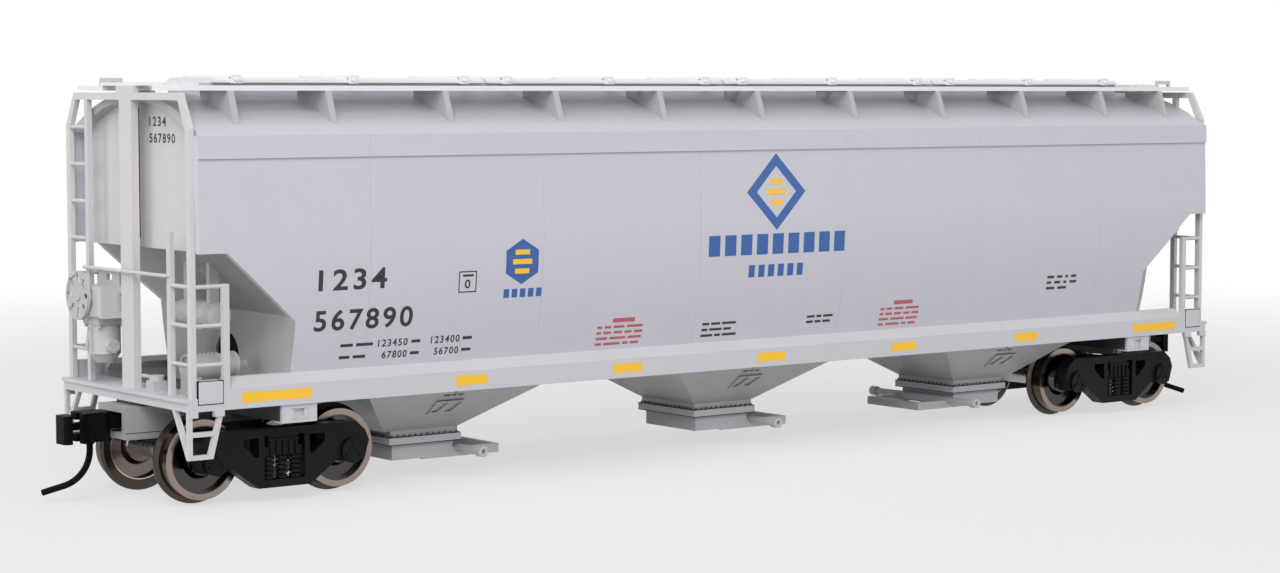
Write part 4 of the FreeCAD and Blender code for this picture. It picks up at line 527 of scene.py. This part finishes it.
def block(low, high, easing=0.06):
    """Block between two corners, with its edges eased."""
    middle = [(a + b) / 2 for a, b in zip(low, high)]
    bpy.ops.mesh.primitive_cube_add(size=MM, location=metres(middle))
    piece = bpy.context.object
    piece.scale = [b - a for a, b in zip(low, high)]
    return modified(settle(piece), "BEVEL", width=easing * MM, segments=2)


def boss(place, radius, length, axis, sides=20, easing=0.05):
    """Round or six-sided boss along an axis, centred on a place, with eased rims."""
    bpy.ops.mesh.primitive_cylinder_add(vertices=sides, radius=radius * MM, depth=length * MM,
                                        location=metres(place), rotation=TURNS[axis])
    piece = settle(bpy.context.object)
    return modified(piece, "BEVEL", width=easing * MM, segments=1, limit_method="ANGLE")


def ring(place, radius, wire, axis):
    """Ring of round wire about a place, its axis along x, y or z."""
    bpy.ops.mesh.primitive_torus_add(major_segments=28, minor_segments=8, major_radius=radius * MM,
                                     minor_radius=wire * MM, location=metres(place),
                                     rotation=TURNS[axis])
    return settle(bpy.context.object)


def copied(piece, shift):
    """A copy of a piece, moved along."""
    copy = duplicate(piece)
    copy.location = metres(shift)
    return settle(copy)


def row(piece, count, step):
    """Repeats a piece along a row."""
    return modified(piece, "ARRAY", count=count, use_relative_offset=False,
                    use_constant_offset=True, constant_offset_displace=metres(step))


def across(piece):
    """A copy of a piece on the other side of the car, its mesh mirrored."""
    copy = duplicate(piece)
    copy.scale.y = -1.0
    settle(copy)
    bpy.ops.object.mode_set(mode="EDIT")
    bpy.ops.mesh.select_all(action="SELECT")
    bpy.ops.mesh.normals_make_consistent(inside=False)
    bpy.ops.object.mode_set(mode="OBJECT")
    return copy


def box_mm(name):
    """A node's lowest and highest corners in millimetres."""
    return [[c / MM for c in corner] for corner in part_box(name)]


# ---- printing
# Marks are laid out flat, facing -Y, as x from the middle and z, both in millimetres.

def bar(x, z, width, height, lean=0.0):
    """Flat bar from its lower left corner, its top edge moved along by lean."""
    place = ((x + width / 2) * MM, 0.0, (z + height / 2) * MM)
    bpy.ops.mesh.primitive_plane_add(size=MM, location=place, rotation=(math.pi / 2, 0.0, 0.0))
    piece = bpy.context.object
    piece.scale = (width, height, 1.0)
    settle(piece)
    if lean:
        for vertex in piece.data.vertices:
            vertex.select = vertex.co.z > z * MM + height * MM / 2
        bpy.ops.object.mode_set(mode="EDIT")
        bpy.ops.transform.translate(value=(lean * MM, 0.0, 0.0))
        bpy.ops.object.mode_set(mode="OBJECT")
    return piece


def polygon(x, z, radius, sides, turn=0.0, hollow=0.0):
    """Flat regular shape about a centre, with a hole that leaves a rim of that width."""
    bpy.ops.mesh.primitive_circle_add(vertices=sides, radius=radius * MM, fill_type="NGON",
                                      rotation=(0.0, 0.0, turn))
    piece = bpy.context.object
    settle(piece)
    if hollow:
        bpy.ops.object.mode_set(mode="EDIT")
        bpy.ops.mesh.select_all(action="SELECT")
        bpy.ops.mesh.inset(thickness=hollow * MM)
        bpy.ops.mesh.delete(type="FACE")
        bpy.ops.object.mode_set(mode="OBJECT")
    piece.location = (x * MM, 0.0, z * MM)
    piece.rotation_euler.x = math.pi / 2
    return settle(piece)


def digits(text, x, z, width, height):
    """Plain digits that fill a box from its lower left corner."""
    bpy.ops.object.text_add()
    lettering = bpy.context.object.data
    lettering.body = text
    lettering.space_character = 1.25
    lettering.offset = 0.02
    bpy.ops.object.convert(target="MESH")
    piece = bpy.context.object
    along = [vertex.co.x for vertex in piece.data.vertices]
    up = [vertex.co.y for vertex in piece.data.vertices]
    wide = width * MM / (max(along) - min(along))
    tall = height * MM / (max(up) - min(up))
    piece.scale = (wide, tall, 1.0)
    piece.rotation_euler.x = math.pi / 2
    piece.location = (x * MM - min(along) * wide, 0.0, z * MM - min(up) * tall)
    return settle(piece)


def dashes(x, z, lengths, height, gap=0.5):
    """Row of bars that stands for a line of small print."""
    bars = []
    for length in lengths:
        bars.append(bar(x, z, length, height))
        x += length + gap
    return bars


def printed(name, pieces, node, lift):
    """Lays flat marks on the near side of a node, sliced so that they follow its curve."""
    before_side = 1.2 * CAD_BOX[0][1]
    piece = joined(name, pieces)
    heights = [vertex.co.z for vertex in piece.data.vertices]
    bpy.ops.object.mode_set(mode="EDIT")
    height = min(heights) + sizes().ink_step
    while height < max(heights):
        bpy.ops.mesh.select_all(action="SELECT")
        bpy.ops.mesh.bisect(plane_co=(0.0, 0.0, height), plane_no=(0.0, 0.0, 1.0))
        height += sizes().ink_step
    bpy.ops.mesh.select_all(action="SELECT")
    bpy.ops.transform.translate(value=(0.0, before_side, 0.0))
    bpy.ops.object.mode_set(mode="OBJECT")
    modified(piece, "SHRINKWRAP", target=NODES[node], wrap_method="PROJECT",
             use_project_y=True, use_positive_direction=True, use_negative_direction=False)
    piece.location.y = -lift
    return settle(piece)


def ink(name, colour):
    """Printed ink: a little glossier than the paint, and thin in places."""
    paint = Paint(name, colour, 0.35)
    return paint.mottle(0.8 * MM, 0.1).sheen(0.9 * MM, 0.3, 0.45).material


class HOPPER_OT_print_sides(bpy.types.Operator):
    """Prints plain numbers, notice lines, emblems and sill stripes on both sides."""

    bl_idname = "hopper.print_sides"
    bl_label = "Print the Sides"

    def execute(self, context):
        lift = sizes().ink_lift
        black = ink("black_ink", colours().ink)
        blue = ink("blue_ink", colours().blue)
        yellow = ink("yellow_ink", colours().stripe)
        red = ink("red_ink", colours().red)
        for name, marks, node, material, layer in (
                ("side_numbers", self.numbers, "side_panel_near", black, 1),
                ("side_notices", self.notices, "side_panel_near", red, 1),
                ("side_emblems", self.blue_shapes, "side_panel_near", blue, 1),
                ("side_emblem_bars", self.yellow_shapes, "side_panel_near", yellow, 2),
                ("sill_stripes", self.stripes, "side_sill_near", yellow, 1)):
            near = printed(name + "_near", marks(), node, layer * lift)
            fitted_twice(near, name + "_far", material)
        for number, opposite in zip(BAY_NUMBERS, reversed(BAY_NUMBERS)):
            line = printed("bay_notice_%d_near" % number, self.bay_lines(number),
                           "hopper_bay_%d" % number, lift)
            fitted_twice(line, "bay_notice_%d_far" % opposite, black)
        return {"FINISHED"}

    def numbers(self):
        """Plain numbers, a small box and black notice lines."""
        marks = [digits("1234", -77.2, 27.6, 10.4, 2.8), digits("567890", -77.5, 22.3, 15.1, 2.8)]
        marks += [digits("123450", -67.4, 19.75, 4.6, 1.0), digits("67800", -66.6, 18.15, 3.9, 1.0)]
        marks += [digits("123400", -59.1, 19.75, 4.6, 1.0), digits("56700", -58.4, 18.15, 3.9, 1.0)]
        for z, first in ((19.75, (1.9, 2.6)), (18.15, (1.6, 1.9))):
            marks += dashes(-73.2, z + 0.3, first, 0.4)
            marks += dashes(-62.2, z + 0.3, (1.4,), 0.4) + dashes(-54.0, z + 0.3, (1.5,), 0.4)
        marks.append(polygon(-54.0, 27.9, 2.05, 4, math.pi / 4, 0.16))
        marks += dashes(-54.8, 28.6, (1.7,), 0.3) + [digits("0", -54.45, 27.0, 0.9, 1.2)]
        for x, z, height, gap, lengths in (
                (-12.4, 19.7, 0.36, 0.35, (1.3, 1.7, 2.6)),
                (-12.4, 18.85, 0.36, 0.35, (1.1, 2.3, 1.4)),
                (-12.4, 18.0, 0.36, 0.35, (2.2, 1.1, 2.6)),
                (7.6, 19.8, 0.36, 0.35, (1.5, 1.0, 1.9)),
                (7.6, 19.0, 0.36, 0.35, (1.3, 1.2, 1.5)),
                (57.8, 23.6, 0.42, 0.7, (1.5, 1.2, 0.6, 1.2)),
                (57.8, 22.7, 0.42, 0.7, (1.0, 1.4, 0.7, 1.6)),
                (57.8, 21.8, 0.42, 0.7, (1.9, 2.0))):
            marks += dashes(x, z, lengths, height, gap)
        return marks

    def notices(self):
        """Two blocks of red notice lines."""
        marks = []
        for x in (-31.4, 22.3):
            marks += dashes(x + 2.6, 21.0, (3.9,), 0.6)
            for z, lengths in ((20.2, (0.9, 1.2, 1.9, 2.8)), (19.4, (0.8, 1.4, 1.5, 1.3, 1.5)),
                               (18.6, (2.0, 2.8, 2.4)), (17.8, (1.1, 2.9, 1.0, 1.5))):
                marks += dashes(x, z, lengths, 0.36, 0.4)
        return marks

    def bay_lines(self, number):
        """Two small black notice lines on a bay."""
        low, high = box_mm("hopper_bay_%d" % number)
        x = (low[0] + high[0]) / 2 - 1.9
        return dashes(x, 12.0, (1.1, 0.7, 0.9), 0.28, 0.25) + dashes(x + 1.3, 12.5, (0.6,), 0.25)

    def blue_shapes(self):
        """Blue parts of the two plain emblems, with rows of leaning bars below them."""
        marks = [polygon(0.2, 38.8, 5.6, 4, 0.0, 1.3), polygon(-45.15, 30.3, 3.1, 6, 0.0)]
        marks += [bar(-13.4 + 3.0 * i, 29.7, 2.1, 3.0, 0.9) for i in range(9)]
        marks += [bar(-5.3 + 1.85 * i, 26.4, 1.15, 1.8, 0.5) for i in range(6)]
        marks += [bar(-48.3 + 1.35 * i, 25.4, 0.9, 1.2, 0.3) for i in range(5)]
        return marks

    def yellow_shapes(self):
        """Yellow bars inside the emblems."""
        marks = []
        for step in (-1, 0, 1):
            width = 3.6 - 1.3 * abs(step)
            marks.append(bar(0.2 - width / 2, 38.4 + 1.5 * step, width, 0.8))
            width = 3.2 - 0.8 * abs(step)
            marks.append(bar(-45.15 - width / 2, 29.95 + 1.3 * step, width, 0.7))
        return marks

    def stripes(self):
        """Yellow stripes along the side sill."""
        places = [(-88.2, 10.2), (-55.6, 5.1), (-29.1, 5.1), (-2.6, 5.3), (24.0, 5.1), (50.5, 5.1),
                  (78.0, 10.2)]
        return [bar(x, 13.9, width, 1.3) for x, width in places]


class HOPPER_OT_print_ends(bpy.types.Operator):
    """Prints small plain numbers on both ends."""

    bl_idname = "hopper.print_ends"
    bl_label = "Print the Ends"

    def execute(self, context):
        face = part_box("end_sheets")[0][0]
        marks = [digits("1234", 1.6, 48.9, 4.6, 1.25), digits("567890", 1.6, 46.75, 7.0, 1.25)]
        piece = joined("end_numbers_b", marks)
        piece.rotation_euler.z = -math.pi / 2
        piece.location.x = face - sizes().ink_lift
        settle(piece)
        fitted_twice(piece, "end_numbers_a", bpy.data.materials["black_ink"])
        return {"FINISHED"}


# ---- fittings

def dark_joint_and_shade():
    """Matt black of the joints between parts, and painted shade in the bulkhead holes and behind
    the centre posts, made once.
    """
    made = bpy.data.materials.get("joint_and_shade_black")
    if made:
        return made
    return Paint("joint_and_shade_black", colours().joint, 0.9).dull(0.1).sheen(0.5 * MM, 0.8, 1.0).material


def painted(name, colour):
    """A satin paint for small fittings, made once."""
    return bpy.data.materials.get(name) or sprayed(name, colour).material


class HOPPER_OT_fit_gates(bpy.types.Operator):
    """Fits bolts and joint lines to the outlet gates, and collars to their shafts."""

    bl_idname = "hopper.fit_gates"
    bl_label = "Fit the Gates"

    def execute(self, context):
        for number in BAY_NUMBERS:
            self.bolts(number)
            self.joints(number)
        self.collars()
        return {"FINISHED"}

    def flange(self, number):
        """Middle, half length, half width and top of a gate's flange."""
        low, high = box_mm("outlet_gate_%d" % number)
        bay_low, bay_high = box_mm("hopper_bay_%d" % number)
        half = sizes().flange / MM / 2
        centre = (bay_low[0] + bay_high[0]) / 2
        middle = low[0] + half if centre - low[0] < high[0] - centre else high[0] - half
        return middle, half, high[1], high[2]

    def bolts(self, number):
        """Bolts that stand along all four edges of a flange, clear of its corners."""
        count, side_count = 12, 13
        corner, side_corner = 0.6, 1.2
        edge, side_edge = 0.2, 0.22
        middle, half, wide, top = self.flange(number)
        radius = sizes().bolt / MM / 2
        height = top + 0.14
        first = boss((middle - half + corner, -wide + edge, height), radius, 0.4, "z", 6)
        along = row(first, count, (2 * (half - corner) / (count - 1), 0.0, 0.0))
        first = boss((middle - half + side_edge, -wide + side_corner, height), radius, 0.4, "z", 6)
        beside = row(first, side_count, (0.0, 2 * (wide - side_corner) / (side_count - 1), 0.0))
        pieces = [along, across(along), beside, copied(beside, (2 * (half - side_edge), 0.0, 0.0))]
        bolts = joined("gate_bolts_%d" % number, pieces)
        # Painted shade: the bolts' dark grey stands for their shade.
        fitted(bolts, painted("bolt_shaded_grey", colours().bolt_shade), "car_body")

    def joints(self, number):
        """Dark joint lines round a flange and the gate below it."""
        middle, half, wide, top = self.flange(number)
        line = sizes().groove / MM
        pieces = []
        for z, grow in ((top + 0.02, 0.0), (top - 1.0, 0.02)):
            pieces.append(block((middle - half - grow, -wide - grow, z - line / 2),
                                (middle + half + grow, wide + grow, z + line / 2), 0.02))
        fitted(joined("gate_joints_%d" % number, pieces), dark_joint_and_shade(), "car_body")

    def collars(self):
        """Collars round the sockets at both ends of each shaft."""
        near = box_mm("gate_shafts")[0][1]
        pieces = []
        for x, z in self.shaft_ends():
            collar = ring((x, near + 0.02, z), 0.52, 0.13, "y")
            pieces += [collar, across(collar)]
        grey = painted("gate_grey", colours().rib)
        fitted(joined("shaft_collars", pieces), grey, "car_body")

    def shaft_ends(self):
        """Places of the shafts, from their own mesh."""
        places = [vertex.co / MM for vertex in NODES["gate_shafts"].data.vertices]
        reach = min(place.y for place in places) + 0.01
        ends = []
        for number in BAY_NUMBERS:
            low, high = box_mm("hopper_bay_%d" % number)
            near = [place for place in places if place.y < reach and low[0] < place.x < high[0]]
            if near:
                sides = [place.x for place in near], [place.z for place in near]
                ends.append([(min(side) + max(side)) / 2 for side in sides])
        return ends


class HOPPER_OT_fit_ends(bpy.types.Operator):
    """Fits cap plates, joint lines, pad frames and painted shade by the posts and in the holes to
    both ends of the car.
    """

    bl_idname = "hopper.fit_ends"
    bl_label = "Fit the Ends"

    def execute(self, context):
        self.cap_plates()
        self.post_shade_strips()
        self.lid_joints()
        self.pad_frames()
        self.hole_shade_discs()
        return {"FINISHED"}

    def both_ends(self, pieces, name, material, slot="body_paint"):
        """Finishes a B end piece made of several shapes, and its half turned copy."""
        fitted_twice(joined(name + "_b", pieces), name + "_a", material)

    def cap_plates(self):
        """Rounded cap plates on the sides of the end sills, each in a dark joint."""
        low, high = box_mm("end_sill_b")
        face = low[1]
        x0, x1, z0, z1 = low[0] + 1.85, high[0] - 0.15, low[2] + 0.9, high[2] - 0.15
        plate = block((x0, face - 0.16, z0), (x1, face + 0.4, z1), 0.14)
        line = sizes().groove / MM
        joint = block((x0 - line, face - 0.03, z0 - line), (x1 + line, face + 0.4, z1 + line), 0.02)
        self.both_ends([plate, across(plate)], "cap_plates", painted("rib_grey", colours().rib))
        self.both_ends([joint, across(joint)], "cap_joints", dark_joint_and_shade())

    def post_shade_strips(self):
        """Painted shade: dark strips on the end sheet behind the edges of the centre post, which
        stands before it.
        """
        low, high = box_mm("end_sheets")
        face, inner = low[0], 1.25
        outer = inner + 2.4 * sizes().groove / MM
        strip = block((face - 0.02, inner, low[2] + 0.2), (face + 0.02, outer, high[2] - 0.9), 0.01)
        self.both_ends([strip], "post_shade_strips", dark_joint_and_shade())

    def lid_joints(self):
        """Dark joint lines on the sides of the draft boxes, above their lids."""
        low, high = box_mm("draft_lids")
        top = high[2]
        line = sizes().groove / MM
        strip = block((low[0] - 0.015, low[1] - 0.015, top - line / 2),
                      (low[0] + 9.0, low[1] + 0.1, top + line / 2), 0.01)
        self.both_ends([strip, across(strip)], "lid_joints", dark_joint_and_shade(), "underframe_paint")

    def hole_shade_discs(self):
        """Painted shade: a black disc in the hole of each bulkhead, for the shade in the space
        behind it.
        """
        face = box_mm("bulkheads")[0][0]
        place = (face + 0.5, -sizes().hole_offset / MM, sizes().hole_height / MM)
        liner = boss(place, sizes().hole / MM / 2 + 0.05, 0.3, "x", 40)
        self.both_ends([liner], "hole_shade_discs", dark_joint_and_shade())

    def pad_frames(self):
        """Thin raised frame on each jacking pad."""
        low, high = box_mm("jacking_pads")
        middle = low[0] + 2.6
        height = (low[2] + high[2]) / 2
        wide, tall, bar_width = 1.15, 0.74, 0.12
        frames = []
        for x0, x1, z0, z1 in ((-wide, wide, tall - bar_width, tall),
                               (-wide, wide, -tall, bar_width - tall),
                               (-wide, bar_width - wide, -tall, tall),
                               (wide - bar_width, wide, -tall, tall)):
            frames.append(block((middle + x0, low[1] - 0.1, height + z0),
                                (middle + x1, low[1] + 0.1, height + z1), 0.03))
        frames += [across(frame) for frame in frames]
        self.both_ends(frames, "pad_frames", painted("rib_grey", colours().rib))


class HOPPER_OT_fit_trucks(bpy.types.Operator):
    """Fits cap bolts and bolster ribs to both trucks."""

    bl_idname = "hopper.fit_trucks"
    bl_label = "Fit the Trucks"

    # Where a bolster's end stands, and the lower and upper ends of its ribs.
    BOLSTER_END = -13.0
    RIB_FOOT, RIB_TOP = 6.1, 8.1

    def execute(self, context):
        plastic = bpy.data.materials["truck_plastic"]
        for end, numbers in END_WHEELS.items():
            pieces = []
            wheels = [box_mm("wheels_%d" % number) for number in numbers]
            places = [((low[0] + high[0]) / 2, (low[2] + high[2]) / 2) for low, high in wheels]
            for x, z in places:
                pieces += self.cap(x, z, end)
            pieces += self.ribs(sum(x for x, z in places) / len(places))
            pieces += [across(piece) for piece in pieces]
            fitted(joined("truck_fittings_" + end, pieces), plastic, "truck_" + end)
        return {"FINISHED"}

    def cap(self, x, z, end):
        """Three bolts and a raised ring on a bearing cap."""
        face = box_mm("truck_frame_" + end)[0][1]
        shapes = [ring((x, face, z), 0.55, 0.1, "y")]
        for step in range(3):
            angle = math.pi / 2 + step * 2 * math.pi / 3
            shapes.append(boss((x + 1.1 * math.cos(angle), face - 0.05, z + 1.1 * math.sin(angle)),
                               0.3, 0.3, "y", 6))
        return shapes

    def ribs(self, centre):
        """Upright ribs on a bolster's end, with a ledge above them."""
        face, foot, top = self.BOLSTER_END, self.RIB_FOOT, self.RIB_TOP
        pitch, half = 0.95, 0.14
        shapes = []
        for step in range(-2, 3):
            x = centre + step * pitch
            shapes.append(block((x - half, face - 0.22, foot), (x + half, face + 0.2, top), 0.05))
        ledge = block((centre - 2.3, face - 0.3, top - 0.1), (centre + 2.3, face + 0.2, top + 0.2),
                      0.06)
        return shapes + [ledge]


class HOPPER_OT_fit_brake_gear(bpy.types.Operator):
    """Fits bolts, bands, a rib, lugs and a clevis to the brake gear."""

    bl_idname = "hopper.fit_brake_gear"
    bl_label = "Fit the Brake Gear"

    def execute(self, context):
        gear = bpy.data.materials["gear_grey"]
        for name, shapes in (("valve_fittings", self.valve()),
                             ("cylinder_fittings", self.cylinder()),
                             ("reservoir_bands", self.reservoir())):
            fitted(joined(name, shapes), gear, "car_body")
        return {"FINISHED"}

    def valve(self):
        """Bolts under the valve's flange, a band, a slanting rib and a bolted cover."""
        low, high = box_mm("control_valve")
        x, y = (low[0] + high[0]) / 2, 5.9
        under = high[2] - 0.9
        shapes = [boss((x + a, y + b, under - 0.2), 0.3, 0.5, "z", 6)
                  for a in (-1.6, 1.6) for b in (-1.9, 1.9)]
        shapes.append(ring((x, y, low[2] + 1.25), 2.02, 0.16, "z"))
        rib = block((-0.2, -0.3, -1.7), (0.2, 0.3, 1.7), 0.08)
        rib.rotation_euler.x = 0.3
        rib.location = ((x - 2.0) * MM, (y + 0.5) * MM, (under - 1.9) * MM)
        shapes.append(settle(rib))
        cover = (x, y - 2.5, low[2] + 2.2)
        for step in range(4):
            angle = math.pi / 4 + step * math.pi / 2
            shapes.append(boss((cover[0] + 0.62 * math.cos(angle), cover[1] - 0.04,
                                cover[2] + 0.62 * math.sin(angle)), 0.14, 0.2, "y", 6, 0.03))
        return shapes

    def cylinder(self):
        """Bolted end flange, bands, a row of lugs and a clevis on the brake cylinder."""
        low, high = box_mm("brake_cylinder")
        y, z = (low[1] + high[1]) / 2, high[2] - 1.6
        back = high[0] - 0.4
        shapes = [ring((back - 0.25, y, z), 1.62, 0.2, "x"),
                  ring((low[0] + 0.3, y, z), 1.6, 0.16, "x"),
                  ring((back - 2.6, y, z), 1.6, 0.1, "x")]
        for step in range(8):
            angle = step * math.pi / 4
            shapes.append(boss((back + 0.02, y + 1.3 * math.cos(angle), z + 1.3 * math.sin(angle)),
                               0.22, 0.3, "x", 6))
        lug = boss((low[0] + 1.0, y, z + 1.6), 0.24, 0.34, "z", 6)
        shapes.append(row(lug, 7, (0.62, 0.0, 0.0)))
        for cheek in (y - 0.42, y + 0.42):
            shapes.append(block((back + 0.3, cheek - 0.16, z - 0.5),
                                (back + 1.6, cheek + 0.16, z + 0.5), 0.12))
        shapes.append(boss((back + 1.2, y, z), 0.24, 1.4, "y", 12))
        return shapes

    def reservoir(self):
        """Bands round the air reservoir and a drain plug."""
        low, high = box_mm("air_reservoir")
        x = (low[0] + high[0]) / 2
        radius = (high[0] - low[0]) / 2
        z = low[2] + radius
        middle = (low[1] + high[1]) / 2
        shapes = [ring((x, middle + step, z), radius + 0.02, 0.12, "y")
                  for step in (-3.2, 0.0, 3.2)]
        shapes.append(boss((x, middle, low[2] - 0.12), 0.35, 0.5, "z", 6))
        return shapes


class HOPPER_OT_fit_roof(bpy.types.Operator):
    """Fits wing nuts to the hatch battens."""

    bl_idname = "hopper.fit_roof"
    bl_label = "Fit the Roof"

    def execute(self, context):
        low = box_mm("hatch_battens")[0]
        face, foot = low[1], low[2]
        nuts = []
        for x in self.batten_places():
            nuts.append(boss((x, face - 0.06, foot + 0.45), 0.3, 0.3, "y", 6))
            nuts.append(block((x - 0.5, face - 0.2, foot + 0.38),
                              (x + 0.5, face - 0.05, foot + 0.56), 0.04))
        nuts += [across(nut) for nut in nuts]
        walkway = bpy.data.materials["walkway_grey"]
        fitted(joined("hatch_nuts", nuts), walkway, "car_body")
        return {"FINISHED"}

    def batten_places(self):
        """Where the battens cross the hatches, from their own mesh."""
        least_gap = 2.0
        vertices = NODES["hatch_battens"].data.vertices
        edges = sorted({round(vertex.co.x / MM, 1) for vertex in vertices})
        places, start = [], edges[0]
        for edge, after in zip(edges, edges[1:] + [math.inf]):
            if after - edge > least_gap:
                places.append((start + edge) / 2)
                start = after
        return places


# ---- stage

FLOOR_SIDE = 8.0
# Distances from the car between which the floor fades to white, and how white it starts.
FADE_START, FADE_END, FADE_FLOOR = 0.13, 0.40, 0.62
AMBIENT_COLOUR, AMBIENT_LEVEL = (0.95, 0.97, 1.0, 1.0), 0.2
WHITE = (1.0, 1.0, 1.0, 1.0)
# Each lamp's place, side and power, and the point that they all face.
LAMPS = {
    "key_light": ((-0.64, -0.76, 0.76), 0.8, 10.8),
    "top_light": ((0.0, -0.12, 1.10), 0.9, 1.3),
    "end_light": ((-1.05, 0.05, 0.38), 0.7, 3.2),
    "side_light": ((0.55, -0.90, 0.35), 0.6, 1.2),
}
LAMP_AIM = Vector((0.0, 0.0, 0.03))
CAMERA_PLACE = (-0.25676, -0.31921, 0.053265)
CAMERA_HEADING, CAMERA_TILT = math.radians(52.387), math.radians(-4.106)
CAMERA_LENS, CAMERA_SENSOR = 76.05, 36.0
CAMERA_REACH = (0.01, 50.0)


class HOPPER_OT_stage(bpy.types.Operator):
    """Makes the pale floor, the soft lights and the camera."""

    bl_idname = "hopper.stage"
    bl_label = "Set the Stage"

    def execute(self, context):
        bpy.ops.object.select_all(action="DESELECT")
        bpy.ops.mesh.primitive_plane_add(size=FLOOR_SIDE)
        floor = context.object
        floor.name = "studio_floor"
        self.paint_floor(floor)
        self.surround(context)
        for name, (place, side, power) in LAMPS.items():
            self.lamp(context, name, place, side, power)
        self.camera(context)
        return {"FINISHED"}

    def paint_floor(self, floor):
        """Plain pale floor that keeps the car's shadow and fades to white around it."""
        paint = Paint("studio_floor", colours().floor, 0.9)
        away = paint.node("ShaderNodeVectorMath", (paint.place,), operation="LENGTH")
        away = away.outputs["Value"]
        far = paint.spread(away, FADE_START, FADE_END, FADE_FLOOR, 1.0, smooth=True)
        rays = paint.node("ShaderNodeLightPath").outputs
        straight = paint.math("MAXIMUM", rays["Is Camera Ray"], rays["Is Glossy Ray"])
        seen = paint.math("MULTIPLY", far, straight)
        glow = paint.node("ShaderNodeEmission", (WHITE, 1.0)).outputs[0]
        blend = paint.node("ShaderNodeMixShader", (seen, paint.shader.outputs[0], glow))
        paint.links.new(blend.outputs[0], paint.nodes["Material Output"].inputs["Surface"])
        floor.data.materials.append(paint.material)

    def surround(self, context):
        """A dim surround that the camera, metal and glass see as white."""
        world = bpy.data.worlds.new("studio_world")
        context.scene.world = world
        world.use_nodes = True
        nodes, links = world.node_tree.nodes, world.node_tree.links
        ambient, white = nodes["Background"], nodes.new("ShaderNodeBackground")
        for background, colour, level in ((ambient, AMBIENT_COLOUR, AMBIENT_LEVEL),
                                          (white, WHITE, 1.0)):
            background.inputs["Color"].default_value = colour
            background.inputs["Strength"].default_value = level
        rays = nodes.new("ShaderNodeLightPath").outputs
        seen = rays["Is Camera Ray"]
        for kind in ("Is Glossy Ray", "Is Transmission Ray"):
            either = nodes.new("ShaderNodeMath")
            either.operation = "MAXIMUM"
            links.new(seen, either.inputs[0])
            links.new(rays[kind], either.inputs[1])
            seen = either.outputs[0]
        mix = nodes.new("ShaderNodeMixShader")
        for source, socket in zip((seen, ambient.outputs[0], white.outputs[0]), mix.inputs):
            links.new(source, socket)
        links.new(mix.outputs[0], nodes["World Output"].inputs["Surface"])

    def lamp(self, context, name, place, side, power):
        """A square soft lamp that faces the car."""
        data = bpy.data.lights.new(name, "AREA")
        data.size = side
        data.energy = power
        lamp = bpy.data.objects.new(name, data)
        context.collection.objects.link(lamp)
        lamp.location = place
        lamp.rotation_euler = self.turned_to(LAMP_AIM - lamp.location)

    def camera(self, context):
        """The camera, low and to the left of the near side."""
        data = bpy.data.cameras.new("camera")
        data.sensor_width = CAMERA_SENSOR
        data.lens = CAMERA_LENS
        data.clip_start, data.clip_end = CAMERA_REACH
        camera = bpy.data.objects.new("camera", data)
        context.collection.objects.link(camera)
        level = math.cos(CAMERA_TILT)
        ahead = Vector((level * math.cos(CAMERA_HEADING), level * math.sin(CAMERA_HEADING),
                        math.sin(CAMERA_TILT)))
        camera.location = CAMERA_PLACE
        camera.rotation_euler = self.turned_to(ahead)
        context.scene.camera = camera
        context.scene.view_settings.view_transform = "Standard"

    def turned_to(self, direction):
        """The turn that makes a lamp or camera face along a direction."""
        return direction.to_track_quat("-Z", "Y").to_euler()


# ---- add-on

STEPS = (HOPPER_OT_paint_body, HOPPER_OT_paint_underside, HOPPER_OT_finish_running_gear,
         HOPPER_OT_print_sides, HOPPER_OT_print_ends, HOPPER_OT_fit_gates, HOPPER_OT_fit_ends,
         HOPPER_OT_fit_trucks, HOPPER_OT_fit_brake_gear, HOPPER_OT_fit_roof, HOPPER_OT_stage)


class HOPPER_PT_dresser(bpy.types.Panel):
    """Lists the steps that dress the car, with their colours and sizes."""

    bl_idname = "HOPPER_PT_dresser"
    bl_label = "Covered Hopper"
    bl_space_type = "VIEW_3D"
    bl_region_type = "UI"
    bl_category = "Hopper"

    def draw(self, context):
        for group in (context.scene.hopper_colours, context.scene.hopper_sizes):
            for name in group.__annotations__:
                self.layout.prop(group, name)
        for step in STEPS:
            self.layout.operator(step.bl_idname)


CLASSES = (HopperColours, HopperSizes) + STEPS + (HOPPER_PT_dresser,)


def register():
    """Registers the classes and puts the settings on the scene."""
    for made in CLASSES:
        bpy.utils.register_class(made)
    bpy.types.Scene.hopper_colours = PointerProperty(type=HopperColours)
    bpy.types.Scene.hopper_sizes = PointerProperty(type=HopperSizes)


def unregister():
    """Takes the settings and classes away again."""
    del bpy.types.Scene.hopper_sizes
    del bpy.types.Scene.hopper_colours
    for made in reversed(CLASSES):
        bpy.utils.unregister_class(made)


def main():
    """Dresses the car step by step."""
    register()
    for step in STEPS:
        group, name = step.bl_idname.split(".")
        getattr(getattr(bpy.ops, group), name)()


if __name__ == "__main__":
    main()
